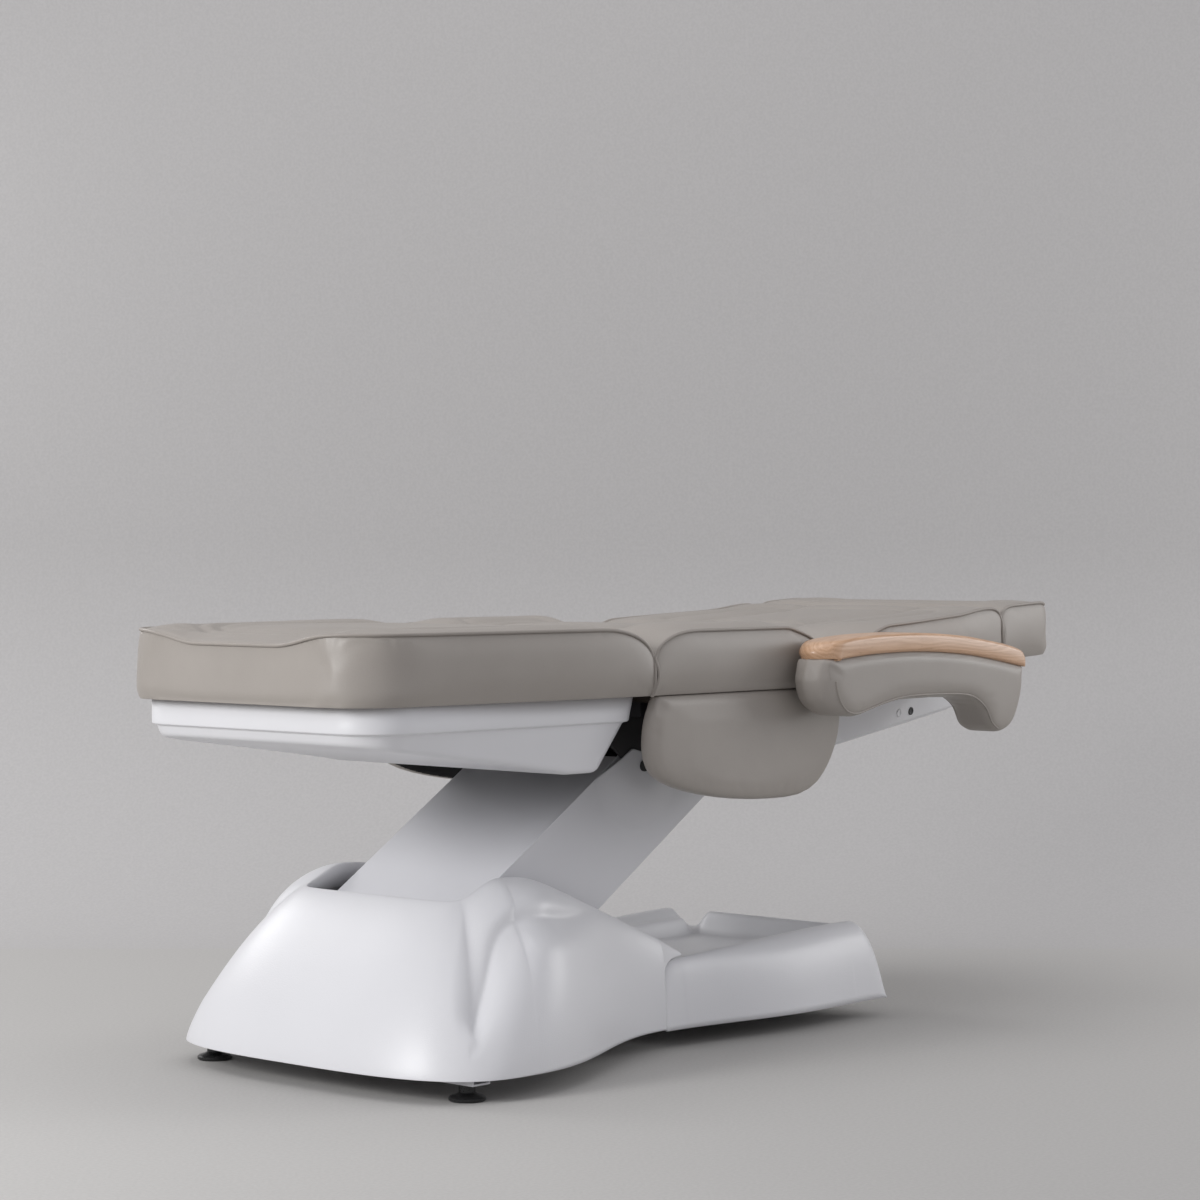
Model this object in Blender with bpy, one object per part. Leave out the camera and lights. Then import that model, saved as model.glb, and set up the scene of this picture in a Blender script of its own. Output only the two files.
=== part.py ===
"""Electric beauty bed: a four-section couch on a parallel lift arm and a moulded base.

Metres, +Z up, floor at z = 0, foot end at -X, head end at +X, origin under the middle of the bed.
Stations along the bed are written as distances from the foot end and turned into X by st().
"""
from math import atan2, cos, exp, hypot, pi, radians, sin, sqrt, tan

import bmesh
import bpy
from mathutils import Matrix, Vector

# Overall sizes and fits
BED_LENGTH = 1.872
GAP = 0.0003            # seat gap between touching pieces
RUN = 0.0004            # radial running clearance of a pin in its hole
CLEAR = 0.004           # air between pieces that move past each other

# Cushions: levels and joints between the four sections
DECK_Z = 0.630          # underside of the upholstery
LEG_END = 0.642
SEAT_START = 0.647
JOINT_FACE_DROP = 0.044  # how far the piping falls at a cushion's jointed end
JOINT_FACE_RUN = 0.105   # length over which it falls
HEADREST_LENGTH = 0.1485
HEAD_START = BED_LENGTH - HEADREST_LENGTH
HEAD_GAP = 0.003        # between the back cushion and the headrest cushion
BACK_END = HEAD_START - HEAD_GAP
LEG_SEAM_Z = 0.744
SEAT_SEAM_Z = 0.739
BACK_SEAM_Z = 0.729
HEAD_SEAM_Z = 0.735
HEAD_RISE_RUN = 0.11    # length over which the back's piping climbs to the headrest's
SEAT_TAIL_DROP = 0.034  # the seat's piping falls toward the notch
SEAT_TAIL_RUN = 0.16
BACK_NOSE_DROP = 0.030  # and so does the back's
BACK_NOSE_RUN = 0.12
LEG_CROWN = 0.010
SEAT_CROWN = 0.016
BACK_CROWN = 0.012
SEAT_HALF = 0.347
FOOT_TAPER = 0.041      # how much narrower the foot end is, each side
HEAD_TAPER = 0.040
LEG_FOOT_HALF = SEAT_HALF - FOOT_TAPER
HEAD_HALF = SEAT_HALF - HEAD_TAPER
BACK_TAPER_RUN = 0.38
FOOT_CORNER_R = 0.115
FOOT_SCOOP = 0.018      # dip of the foot edge between the calves
SCOOP_HALF = 0.235
SCOOP_RUN = 0.16
SIDE_DRAW = 0.007       # how far the side panels draw in at their hems
CHANNEL_DEPTH = 0.006
CHANNEL_WIDTH = 0.013
CHANNEL_INSET = 0.075   # sewn channel of the inner top panel, from the edge
NOTCH_HALF = radians(35)  # lean of the two faces that close when the back rises

# Decks, frames and hinges
BOARD_T = 0.012
TUBE_W = 0.030
TUBE_H = 0.025
HINGE_Z = 0.612
LEG_HINGE_X = 0.646
BACK_HINGE_X = 1.158
BACK_TILT = radians(3)
PIN_R = 0.006
EAR_T = 0.008
EAR_R = 0.0115
EAR_GAP = 0.001
HINGE_ROOM = 0.016      # boards stop this far from a hinge axis
LEG_FRAME_HALF = 0.228
LEG_FRAME_START = 0.115
BACK_COVER_HALF = 0.262
COVER_T = 0.003
HINGE_EAR_Y = 0.195     # middle of the outer hinge ears
HEAD_EAR_Y = 0.100
HEAD_HINGE_BACK = 0.0205  # the headrest's hinge lies this far inside its cushion's start
HEAD_HINGE_X = HEAD_START - HEAD_HINGE_BACK

# Leg tray and back cover, moulded under-pans
TRAY_START = 0.036
TRAY_END = 0.634
TRAY_FOOT_INSET = 0.018  # the pan's rim lies inside the leg cushion
TRAY_HINGE_INSET = 0.042
TRAY_FOOT_HALF = LEG_FOOT_HALF - TRAY_FOOT_INSET
TRAY_HINGE_HALF = SEAT_HALF - 0.002 - TRAY_HINGE_INSET
TRAY_STEP_Z = 0.586
TRAY_STEP = 0.008
TRAY_FOOT_Z = 0.566
TRAY_DEEP_Z = 0.503
TRAY_DEEP_X = 0.567
TRAY_CORNER_R = 0.085
TRAY_SLANT = 0.046      # the pan's open end leans this far
TRAY_STEP_START = 0.10  # the step in its side grows from here
TRAY_STEP_RUN = 0.22
BACK_COVER_START = 1.236
BACK_COVER_END = HEAD_HINGE_X - 0.013
BACK_COVER_DEEP_Z = 0.502
BACK_COVER_HEAD_Z = 0.545

# Side flaps under the seat, with their outline as (station, height)
FLAP_T = 0.030
FLAP_DOME = 0.007
FLAP_INSET = 0.0015
FLAP_IN = SEAT_HALF - FLAP_INSET - FLAP_T
FLAP_RING = [(0.660, DECK_Z - GAP), (0.642, 0.600), (0.633, 0.560), (0.637, 0.522), (0.658, 0.493),
             (0.704, 0.472), (0.775, 0.455), (0.865, 0.442), (0.955, 0.4365), (1.032, 0.440),
             (1.086, 0.460), (1.124, 0.499), (1.147, 0.545), (1.152, 0.590), (1.140, DECK_Z - GAP)]
SEAT_FRAME_INSET = 0.0255
SEAT_FRAME_HALF = FLAP_IN - SEAT_FRAME_INSET

# Armrests, with their outlines as (distance along the bed from the pivot, height)
ARM_GAP = 0.0155        # air between a cushion's side and the armrest
ARM_IN = SEAT_HALF + ARM_GAP
ARM_WIDTH = 0.083
ARM_PIVOT_BACK = 0.173  # the pivot, before the headrest's hinge
ARM_PIVOT_X = HEAD_HINGE_X - ARM_PIVOT_BACK
ARM_PIVOT_R = 0.008
ARM_BOSS_R = 0.012
ARM_PIN_DEPTH = 0.040
ARM_ROUND = 0.014
CAP_ROUND = 0.009
CAP_T = 0.031
PAD_BOW = 0.026         # the front ends are bowed in plan
CAP_BOW = 0.016
PAD_BOW_RUN = 0.030     # height over which the bow grows below the cap
BOW_RUN = 0.055
ARM_CREST = [(-0.519, 0.6846), (-0.450, 0.6908), (-0.370, 0.6945), (-0.256, 0.6946), (-0.135, 0.6871),
             (-0.046, 0.6760), (0.061, 0.6586)]
ARM_UNDER = [(0.061, 0.6586), (0.062, 0.625), (0.053, 0.590), (0.035, 0.556), (0.010, 0.539),
             (-0.020, 0.535), (-0.046, 0.548), (-0.064, 0.577), (-0.100, 0.598), (-0.150, 0.605),
             (-0.250, 0.607), (-0.330, 0.604), (-0.405, 0.590), (-0.455, 0.5805), (-0.490, 0.5875),
             (-0.515, 0.614), (-0.524, 0.650), (-0.519, 0.6846)]
CAP_NOSE = [(-0.4985, 0.7160), (-0.5145, 0.7075), (-0.5225, 0.6970)]
CAP_TAIL = [(0.0665, 0.6715), (0.0510, 0.6880)]

# Lift arm and its parallel tie link
LIFT_X = 0.331
LIFT_Z = 0.199
ARM_ANGLE = radians(32.19)
ARM_LENGTH = 0.560
ARM_HALF = 0.163
SHELL_T = 0.003
SHELL_ABOVE = 0.043
SHELL_BELOW = 0.152
SHELL_FOOT = 0.050
SHELL_TOP_END = ARM_LENGTH - 0.035
SHELL_END_HIGH = ARM_LENGTH + 0.030
SHELL_END_LOW = ARM_LENGTH + 0.170
LINK_T = 0.010
LINK_R = 0.034
SHAFT_R = 0.012
TOP_SHAFT_R = 0.010
TIE_DROP = 0.090
TIE_R = 0.018
TIE_T = 0.012
TIE_PIN_R = 0.008
CROSS_TUBE_R = 0.016
CROSS_TUBE_AT = 0.30
HORN_REACH = 0.100
HORN_REST = radians(9.5)
HORN_T = 0.008
SLEEVE_R = 0.020
TIE_SLACK = 0.001       # play at the tie link's upper pin, the pivot left open

# Seat carriage
PLATE_T = 0.008
PLATE_EAR_R = 0.021
PLATE_LOBE_R = 0.022
CARRIAGE_DECK = 0.566

# Actuators
MOTOR_R = 0.024
BARREL_R = 0.018
MOTOR_TAIL = 0.030
MOTOR_HEAD = 0.060
ROD_R = 0.010
FORK_HALF = 0.017       # half height of the rod fork
FORK_SLOT = 0.011       # half height of its open slot
FORK_T = 0.014
LEVER_R = 0.013
HORN_PIN_R = 0.005
LEG_ROD_Y = 0.225
BACK_ROD_Y = -0.225
LIFT_ROD_Y = 0.0975
LEG_HORN_BACK = 0.020   # the leg lever's pin, toward the foot and below the hinge
LEG_HORN_DROP = 0.090
BACK_HORN_AHEAD = 0.050
BACK_HORN_DROP = 0.130
BACK_MOTOR_BACK = 0.270  # the back motor's pivot, from the back hinge
BACK_MOTOR_DROP = 0.085
BACK_BARREL = 0.200
BACK_ROD = 0.245
LEG_NOSE_X = 0.722
LEG_TAIL_X = 1.078
LEG_ROD = 0.200
LIFT_NOSE_X = 0.455
LIFT_TAIL_X = 0.765
LIFT_ROD = 0.220

# Base frame
BAR_Z = 0.0275
BAR_H = 0.030
BAR_W = 0.040
BAR_WALL = 0.003
FRONT_BAR_X = 0.234
REAR_BAR_X = 1.285
REAR_BAR_HALF = 0.215
RAIL_IN = 0.1685
RAIL_W = 0.030
RAIL_H = 0.030
BRACKET_T = 0.010
REAR_FOOT_Y = 0.090
FOOT_PAD_R = 0.030
FOOT_STEM_R = 0.0135

# Base covers
SKIN = 0.004
COVER_Z = 0.0375
FRONT_X = 0.132
WIDE_X = 0.330
WIDE_HALF = 0.371
JOIN_X = 0.815
JOIN_HALF = 0.224
PLAN_POWER = 3.2
RIM_X = 0.318
RIM_SIDE_X = 0.430
RIM_HALF = 0.187
RIM_JOIN_HALF = 0.194
RIM_Z = 0.300
HUMP_Z = 0.3335
HUMP_END_X = 0.495      # behind the hump the rim falls straight
HUMP_ROUND = 0.040
RIM_SLOPE = 0.426
FRONT_POWER = 1.27      # roundness of the front panel's profile, 1 is flat
SIDE_POWER = 2.1
RIM_POWER = 8.0
LIP_ROUND = 0.005
LIP_DROP = 0.040
LIP_FRONT_DROP = 0.018  # shallower in front, where the raised arm leans over it
COVER_STEPS = [0.12 * i for i in range(4)] + [0.46 + 0.036 * i for i in range(15)]
COVER_STEPS += [1.0 + 0.09 * i for i in range(1, 8)] + [1.76, 1.88, 2.0]
COVER_LEVELS = 15
TONGUE_END = 0.893      # the flanks run on past the join, inside the tail's ridges
TONGUE_STEPS = 4
TONGUE_FROM_Z = 0.122
TONGUE_LIFT = 0.0015    # clear of the ridge below
TONGUE_INSET = 0.014    # its tip lies inside the ridge

# Valley pressed into the front cover, as (way round the cover, way up its wall)
VALLEY_FRONT = [(0.690, 0.235), (0.630, 0.270), (0.583, 0.350), (0.568, 0.432), (0.580, 0.508),
                (0.615, 0.638), (0.723, 0.780), (0.900, 1.0), (1.100, 1.0), (1.300, 1.0), (1.600, 1.0)]
VALLEY_BACK = [(0.690, 0.235), (0.790, 0.345), (0.872, 0.432), (0.915, 0.533), (0.935, 0.625),
               (0.975, 0.680), (1.073, 0.672), (1.248, 0.700), (1.420, 0.800), (1.600, 1.0)]
VALLEY_TALL = 1.2       # one step up the wall counts as this many round the cover
VALLEY_STEEP = 0.28     # share of its width taken by the steep front side
VALLEY_POCKET = 0.019
VALLEY_LEDGE = 0.013
VALLEY_EASE = 1.4       # roundness of its long back side
VALLEY_FOOT_RUN = 0.15  # lengths over which it fades in at its foot and out at its far end
VALLEY_END_RUN = 0.40
FLANK_FROM = 0.72       # way round the cover where panel and pocket turn into flank and ledge
FLANK_RUN = 0.5
LEDGE_RUN = 0.25
FACE_STEP = 0.01        # step along the wall that finds its outward direction

# Tail cover
TAIL_END = 1.412
TAIL_HALF = 0.264
TAIL_TAPER = 0.008
TAIL_WIDEN = 0.36       # length over which it widens behind the join
RIDGE_HALF = 0.204
RIDGE_START_Z = 0.152
RIDGE_END_Z = 0.177
RIDGE_END_X = 1.325
RIDGE_NOSE = 0.027
RIDGE_NOSE_RUN = 0.05
RIDGE_IN = 0.024        # the ridge starts this far inside the join's hem
RIDGE_IN_RUN = 0.20
TAIL_FLOOR_Z = 0.126
INNER_WALL = [(0.197, 1.0), (0.188, 0.92), (0.176, 0.68), (0.168, 0.64), (0.160, 0.37), (0.150, 0.06),
              (0.140, 0.0)]  # across, and share of the ridge's height over the floor
REAR_WALL_Z = 0.175
REAR_WALL_X = (1.343, 1.377)
REAR_WALL_HALF = 0.145
CORNER_NOTCH_Z = 0.138  # the far rear corner is notched between ridge and rear wall
CORNER_NOTCH_RUN = 0.034
CORNER_NOTCH_WIDE = 0.050
TAIL_FALL = 0.040       # length of the rounded end
TAIL_STEPS = (0.825, 0.840, 0.865, 0.92, 1.04, 1.18, 1.29, 1.33, 1.345, 1.362, 1.377, 1.390, 1.401, 1.409)

# Floor bar and feet under the front cover
BAR_HALF = WIDE_HALF - 0.036
FOOT_Y = BAR_HALF - 0.032

# Control gear
BOX_X = 1.06
BOX_LENGTH = 0.20
BOX_HALF = RAIL_IN + 0.017

COLOURS = {
    "leather": ((0.42, 0.40, 0.36), 0.45, 0.0),
    "white_shell": ((0.78, 0.78, 0.80), 0.35, 0.0),
    "white_steel": ((0.76, 0.76, 0.78), 0.40, 0.2),
    "wood": ((0.62, 0.40, 0.25), 0.45, 0.0),
    "black_steel": ((0.02, 0.02, 0.022), 0.45, 0.5),
    "zinc": ((0.55, 0.55, 0.56), 0.35, 1.0),
    "rubber": ((0.015, 0.015, 0.016), 0.55, 0.0),
    "board": ((0.30, 0.22, 0.14), 0.70, 0.0),
    "motor": ((0.05, 0.05, 0.055), 0.50, 0.0),
}


def st(station):
    """X of a station measured from the foot end."""
    return station - BED_LENGTH / 2


# Head end in the back's own frame, so that the tilted bed keeps its overall length
HEAD_RAISE = (DECK_Z - HINGE_Z) * sin(BACK_TILT)
HEAD_END = BACK_HINGE_X + (BED_LENGTH - BACK_HINGE_X + HEAD_RAISE) / cos(BACK_TILT)


def clear_scene():
    for ob in list(bpy.data.objects):
        bpy.data.objects.remove(ob, do_unlink=True)


def material(name):
    colour, rough, metal = COLOURS[name]
    mat = bpy.data.materials.get(name) or bpy.data.materials.new(name)
    mat.use_nodes = True
    shader = mat.node_tree.nodes["Principled BSDF"]
    shader.inputs["Base Color"].default_value = (*colour, 1.0)
    shader.inputs["Roughness"].default_value = rough
    shader.inputs["Metallic"].default_value = metal
    return mat


class Axis:
    """An empty on a joint axis. Pieces are drawn in the flat bed's frame and hang from it."""

    def __init__(self, name, x, y, z, tilt=0.0, parent=None):
        self.flat = Vector((x, y, z))
        self.empty = bpy.data.objects.new("axis_" + name, None)
        bpy.context.collection.objects.link(self.empty)
        self.empty.location = self.flat
        if parent:
            self.empty.parent = parent.empty
            self.empty.location = self.flat - parent.flat
        self.empty.rotation_euler = (0.0, -tilt, 0.0)

    def add(self, name, bm, finish, smooth=35):
        """Turn a bmesh drawn in the flat frame into a named piece on this axis."""
        bmesh.ops.translate(bm, verts=bm.verts, vec=-self.flat)
        bmesh.ops.remove_doubles(bm, verts=bm.verts, dist=1e-6)
        bmesh.ops.recalc_face_normals(bm, faces=bm.faces)
        mesh = bpy.data.meshes.new(name)
        bm.to_mesh(mesh)
        bm.free()
        mesh.shade_smooth()
        mesh.set_sharp_from_angle(angle=radians(smooth))
        mesh.materials.append(material(finish))
        ob = bpy.data.objects.new(name, mesh)
        bpy.context.collection.objects.link(ob)
        ob.parent = self.empty
        return ob


def combine(ob, axis, bm, operation):
    """Weld a closed bmesh, drawn in the flat frame, to a piece or take it out of it."""
    tool = axis.add(ob.name + "_tool", bm, "zinc")
    tool.hide_render = True
    tool.display_type = "WIRE"
    step = ob.modifiers.new(operation.lower(), "BOOLEAN")
    step.operation = operation
    step.solver = "EXACT"
    step.object = tool
    return ob


def cut(ob, axis, bm):
    return combine(ob, axis, bm, "DIFFERENCE")


def weld(ob, axis, bm):
    return combine(ob, axis, bm, "UNION")


def round_edges(ob, width, segments=2, angle=30):
    step = ob.modifiers.new("round", "BEVEL")
    step.width = width
    step.segments = segments
    step.limit_method = "ANGLE"
    step.angle_limit = radians(angle)
    step.use_clamp_overlap = True
    return ob


def thicken(ob, wall, offset):
    step = ob.modifiers.new("wall", "SOLIDIFY")
    step.thickness = wall
    step.offset = offset
    step.use_even_offset = True
    return ob


def box(x, y, z, bm=None):
    """A block from three (low, high) pairs."""
    bm = bm or bmesh.new()
    size = Vector((x[1] - x[0], y[1] - y[0], z[1] - z[0]))
    mid = Vector((x[0] + x[1], y[0] + y[1], z[0] + z[1])) / 2
    bmesh.ops.create_cube(bm, size=1.0, matrix=Matrix.Translation(mid) @ Matrix.Diagonal((*size, 1.0)))
    return bm


def prism(outline, low, high, along="y"):
    """Extrude a closed outline. Along y it is in (x, z), along x in (y, z), along z in (x, y)."""
    place = {"y": lambda p, h: (p[0], h, p[1]),
             "x": lambda p, h: (h, p[0], p[1]),
             "z": lambda p, h: (p[0], p[1], h)}[along]
    bm = bmesh.new()
    rows = [[bm.verts.new(place(p, h)) for p in outline] for h in (low, high)]
    count = len(outline)
    for i in range(count):
        j = (i + 1) % count
        bm.faces.new((rows[0][i], rows[0][j], rows[1][j], rows[1][i]))
    for row in rows:
        bm.faces.new(row)
    return bm


def loft(loops):
    """Join closed loops of equal length into one capped solid."""
    bm = bmesh.new()
    rows = [[bm.verts.new(p) for p in loop] for loop in loops]
    count = len(loops[0])
    for a, b in zip(rows, rows[1:]):
        for i in range(count):
            j = (i + 1) % count
            bm.faces.new((a[i], a[j], b[j], b[i]))
    bm.faces.new(rows[0])
    bm.faces.new(rows[-1])
    return bm


def sheet(rows, bm=None):
    """An open grid surface from rows of points."""
    bm = bm or bmesh.new()
    grid = [[bm.verts.new(p) for p in row] for row in rows]
    for a, b in zip(grid, grid[1:]):
        for i in range(len(a) - 1):
            bm.faces.new((a[i], a[i + 1], b[i + 1], b[i]))
    return bm


def rod(centre, radius, length, along="y", sides=20, bm=None):
    """A round bar of a given length about its centre."""
    bm = bm or bmesh.new()
    turn = {"y": Matrix.Rotation(pi / 2, 4, "X"), "x": Matrix.Rotation(pi / 2, 4, "Y"),
            "z": Matrix.Identity(4)}[along]
    bmesh.ops.create_cone(bm, cap_ends=True, segments=sides, radius1=radius, radius2=radius,
                          depth=length, matrix=Matrix.Translation(centre) @ turn)
    return bm


def tube_ring(x, half, width, z):
    """A flat rectangular frame of square tube."""
    bm = bmesh.new()
    outer = [(x[0], -half), (x[1], -half), (x[1], half), (x[0], half)]
    inner = [(x[0] + width, -half + width), (x[1] - width, -half + width),
             (x[1] - width, half - width), (x[0] + width, half - width)]
    rows = [[bm.verts.new((*p, h)) for p in ring] for h in z for ring in (outer, inner)]
    low_out, low_in, top_out, top_in = rows
    for i in range(4):
        j = (i + 1) % 4
        bm.faces.new((low_out[i], low_out[j], top_out[j], top_out[i]))
        bm.faces.new((low_in[j], low_in[i], top_in[i], top_in[j]))
        bm.faces.new((top_out[i], top_out[j], top_in[j], top_in[i]))
        bm.faces.new((low_out[j], low_out[i], low_in[i], low_in[j]))
    return bm


def arc(cx, cz, radius, start, end, count):
    """Points on an arc, angles in degrees."""
    angles = [radians(start + (end - start) * i / count) for i in range(count + 1)]
    return [(cx + radius * cos(a), cz + radius * sin(a)) for a in angles]


def bar_outline(p, q, radius, count=8):
    """A straight bar with round ends, from p to q."""
    lean = atan2(q[1] - p[1], q[0] - p[0]) * 180 / pi
    return (arc(*p, radius, lean + 90, lean + 270, count) + arc(*q, radius, lean - 90, lean + 90, count))


def smooth(points, per_span):
    """Points along a smooth curve that passes through the given ones."""
    ends = [points[0], *points, points[-1]]
    out = []
    for a, b, c, d in zip(ends, ends[1:], ends[2:], ends[3:]):
        for i in range(per_span):
            t = i / per_span
            out.append(tuple(0.5 * (2 * q + (r - p) * t + (2 * p - 5 * q + 4 * r - s) * t * t
                                    + (3 * q - p - 3 * r + s) * t ** 3)
                             for p, q, r, s in zip(a, b, c, d)))
    out.append(tuple(points[-1]))
    return out


def ease(t):
    """A cosine blend from 0 to 1."""
    t = min(max(t, 0.0), 1.0)
    return (1 - cos(pi * t)) / 2


def blend(a, b, t):
    return a + (b - a) * t


def on_arm(along, above, swing=0.0):
    """A point in the lift arm's own frame, as flat (x, z)."""
    a = ARM_ANGLE + swing
    return (st(LIFT_X) + along * cos(a) - above * sin(a), LIFT_Z + along * sin(a) + above * cos(a))


def tilted(x, z):
    """Where a point of the back's flat frame stands when the back lies at its rest tilt."""
    dx, dz = x - st(BACK_HINGE_X), z - HINGE_Z
    return (st(BACK_HINGE_X) + dx * cos(BACK_TILT) - dz * sin(BACK_TILT),
            HINGE_Z + dx * sin(BACK_TILT) + dz * cos(BACK_TILT))


# Upholstery: every cushion is lofted from closed cross sections along the bed

TOP_ACROSS = (1.0, 0.94, 0.86, 0.77, 0.68, 0.40, 0.0)


def cushion(stations, half, seam, crown, panel, dip=lambda x, v: 0.0, bottom=lambda x: DECK_Z):
    """Loft a cushion. half, seam and crown are functions of the station, panel the sewn area."""
    loops = []
    for s in stations:
        w, low, top = half(s), bottom(s), seam(s)
        inner = max(w - CHANNEL_INSET, 0.02)

        def height(v):
            y = abs(v) * w
            away = max(y - inner, abs(s - panel[0]) - panel[1])
            sewn = CHANNEL_DEPTH * exp(-(away / CHANNEL_WIDTH) ** 2)
            rise = crown(s) * (1 - abs(v) ** 4)
            return top + rise - dip(s, v) - (sewn if crown(s) > CHANNEL_DEPTH else 0.0)

        tall = top - low
        side = [(w - SIDE_DRAW, low), (w - SIDE_DRAW * 0.35, low + 0.12 * tall), (w, low + 0.5 * tall),
                (w - SIDE_DRAW * 0.2, low + 0.9 * tall)]
        across = [(v * w - (0.004 if v == 1.0 else 0.0), height(v)) for v in TOP_ACROSS]
        right = side + across
        left = [(-y, z) for y, z in reversed(right[:-1])]
        loops.append([(st(s), y, z) for y, z in right + left])
    return loft(loops)


def falling_end(s, end, run, drop):
    """Height lost near a jointed end, along a quarter ellipse."""
    t = min(max(1 - abs(end - s) / run, 0.0), 1.0)
    return drop * (1 - sqrt(1 - t * t))


def make_cushions(leg, seat, back, head):
    def leg_half(s):
        w = blend(LEG_FOOT_HALF, SEAT_HALF - 0.002, ease(s / LEG_END))
        if s < FOOT_CORNER_R:
            w -= FOOT_CORNER_R - sqrt(FOOT_CORNER_R ** 2 - (FOOT_CORNER_R - s) ** 2)
        return w

    def leg_seam(s):
        return LEG_SEAM_Z - falling_end(s, LEG_END, JOINT_FACE_RUN, JOINT_FACE_DROP)

    def leg_dip(s, v):
        return FOOT_SCOOP * ease((1 - abs(v) * leg_half(s) / SCOOP_HALF) * 1.7) * (1 - ease(s / SCOOP_RUN))

    def soft_ends(crown, start, end, run):
        return lambda s: crown * min(ease((s - start) / run + 0.12), ease((end - s) / run + 0.12))

    near_foot = (0.0, 0.004, 0.018, 0.045, 0.080)
    near_joint = (0.100, 0.070, 0.042, 0.020, 0.006, 0.0)
    middle = [0.115 + (LEG_END - 0.235) * i / 5 for i in range(6)]
    stations = [*near_foot, *middle, *(LEG_END - d for d in near_joint)]
    leg.add("leg_cushion", cushion(stations, leg_half, leg_seam, soft_ends(LEG_CROWN, 0.0, LEG_END, 0.10),
                                   (LEG_END / 2 + 0.01, LEG_END / 2 - 0.085), leg_dip), "leather", 50)

    lean = tan(NOTCH_HALF)
    notch_low = (DECK_Z - HINGE_Z) * lean + CLEAR
    notch_high = (SEAT_SEAM_Z + SEAT_CROWN - HINGE_Z) * lean + CLEAR
    seat_end = BACK_HINGE_X - notch_low
    seat_top_end = BACK_HINGE_X - notch_high

    def leaning_face(s, end, sign):
        """Highest point allowed by the leaning notch face at a station."""
        return HINGE_Z + (sign * (end - s) - CLEAR) / lean

    def seat_seam(s):
        top = SEAT_SEAM_Z - falling_end(s, SEAT_START, JOINT_FACE_RUN, JOINT_FACE_DROP)
        top -= falling_end(s, seat_end, SEAT_TAIL_RUN, SEAT_TAIL_DROP)
        return min(top, leaning_face(s, BACK_HINGE_X, 1))

    def seat_crown(s):
        room = leaning_face(s, BACK_HINGE_X, 1) - seat_seam(s)
        return max(min(soft_ends(SEAT_CROWN, SEAT_START, seat_top_end + 0.04, 0.10)(s), room), 0.0)

    slope = [blend(seat_top_end, seat_end, f) for f in (0.0, 0.2, 0.45, 0.72, 0.97)]
    middle = [SEAT_START + 0.12 + (seat_top_end - SEAT_START - 0.18) * i / 3 for i in range(4)]
    stations = [*(SEAT_START + d for d in reversed(near_joint)), *middle, *slope]
    seat.add("seat_cushion", cushion(stations, lambda s: SEAT_HALF, seat_seam, seat_crown,
                                     ((SEAT_START + seat_top_end) / 2, 0.125)), "leather", 50)

    back_start = BACK_HINGE_X + notch_low
    back_top_start = BACK_HINGE_X + notch_high

    def back_half(s):
        return blend(SEAT_HALF - 0.002, HEAD_HALF, ease((s - BACK_END) / BACK_TAPER_RUN + 1.1))

    def back_seam(s):
        top = blend(BACK_SEAM_Z, HEAD_SEAM_Z, ease((s - BACK_END) / HEAD_RISE_RUN + 1.4))
        top -= 0.4 * falling_end(s, BACK_END, JOINT_FACE_RUN * 0.3, JOINT_FACE_DROP)
        top -= falling_end(s, back_start, BACK_NOSE_RUN, BACK_NOSE_DROP)
        return min(top, leaning_face(s, BACK_HINGE_X, -1))

    def back_crown(s):
        room = leaning_face(s, BACK_HINGE_X, -1) - back_seam(s)
        return max(min(soft_ends(BACK_CROWN, back_top_start - 0.04, BACK_END, 0.06)(s), room), 0.0)

    slope = [blend(back_start, back_top_start, f) for f in (0.03, 0.28, 0.55, 0.80, 1.0)]
    middle = [back_top_start + 0.06 + (BACK_END - back_top_start - 0.12) * i / 5 for i in range(6)]
    stations = [*slope, *middle, *(BACK_END - d for d in (0.034, 0.016, 0.005, 0.0))]
    back.add("back_cushion", cushion(stations, back_half, back_seam, back_crown,
                                     ((back_top_start + BACK_END) / 2, 0.165)), "leather", 50)

    def head_seam(s):
        near = 0.4 * falling_end(s, HEAD_START, JOINT_FACE_RUN * 0.3, JOINT_FACE_DROP)
        return HEAD_SEAM_Z - near - 0.2 * falling_end(s, HEAD_END, 0.02, JOINT_FACE_DROP)

    stations = [HEAD_START + d for d in (0.0, 0.005, 0.016, 0.034, 0.066)]
    stations += [HEAD_END - d for d in (0.040, 0.018, 0.006, 0.0)]

    def head_half(s):
        return HEAD_HALF - 0.1 * falling_end(s, HEAD_END, 0.03, JOINT_FACE_DROP)

    head.add("headrest_cushion", cushion(stations, head_half, head_seam,
                                         soft_ends(BACK_CROWN, HEAD_START, HEAD_END, 0.06),
                                         ((HEAD_START + HEAD_END) / 2, 0.02)), "leather", 50)


# Decks: plywood boards under the upholstery and welded tube rings under the boards

BOARD_Z = (DECK_Z - GAP - BOARD_T, DECK_Z - GAP)
TUBE_Z = (BOARD_Z[0] - GAP - TUBE_H, BOARD_Z[0] - GAP)
SEAT_FRAME_X = (LEG_HINGE_X + 0.022, BACK_HINGE_X - 0.036)
BACK_FRAME_X = (BACK_HINGE_X + 0.030, HEAD_HINGE_X - 0.039)
LEG_FRAME_X = (LEG_FRAME_START, LEG_HINGE_X - 0.022)
HEAD_FRAME_X = (HEAD_HINGE_X + 0.037, BED_LENGTH - 0.042)
BACK_FRAME_HALF = BACK_COVER_HALF - 0.026
HEAD_FRAME_HALF = HEAD_HALF - 0.127


def board(axis, name, outline):
    axis.add(name, prism([(st(s), y) for s, y in outline], *BOARD_Z, along="z"), "board")


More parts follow.
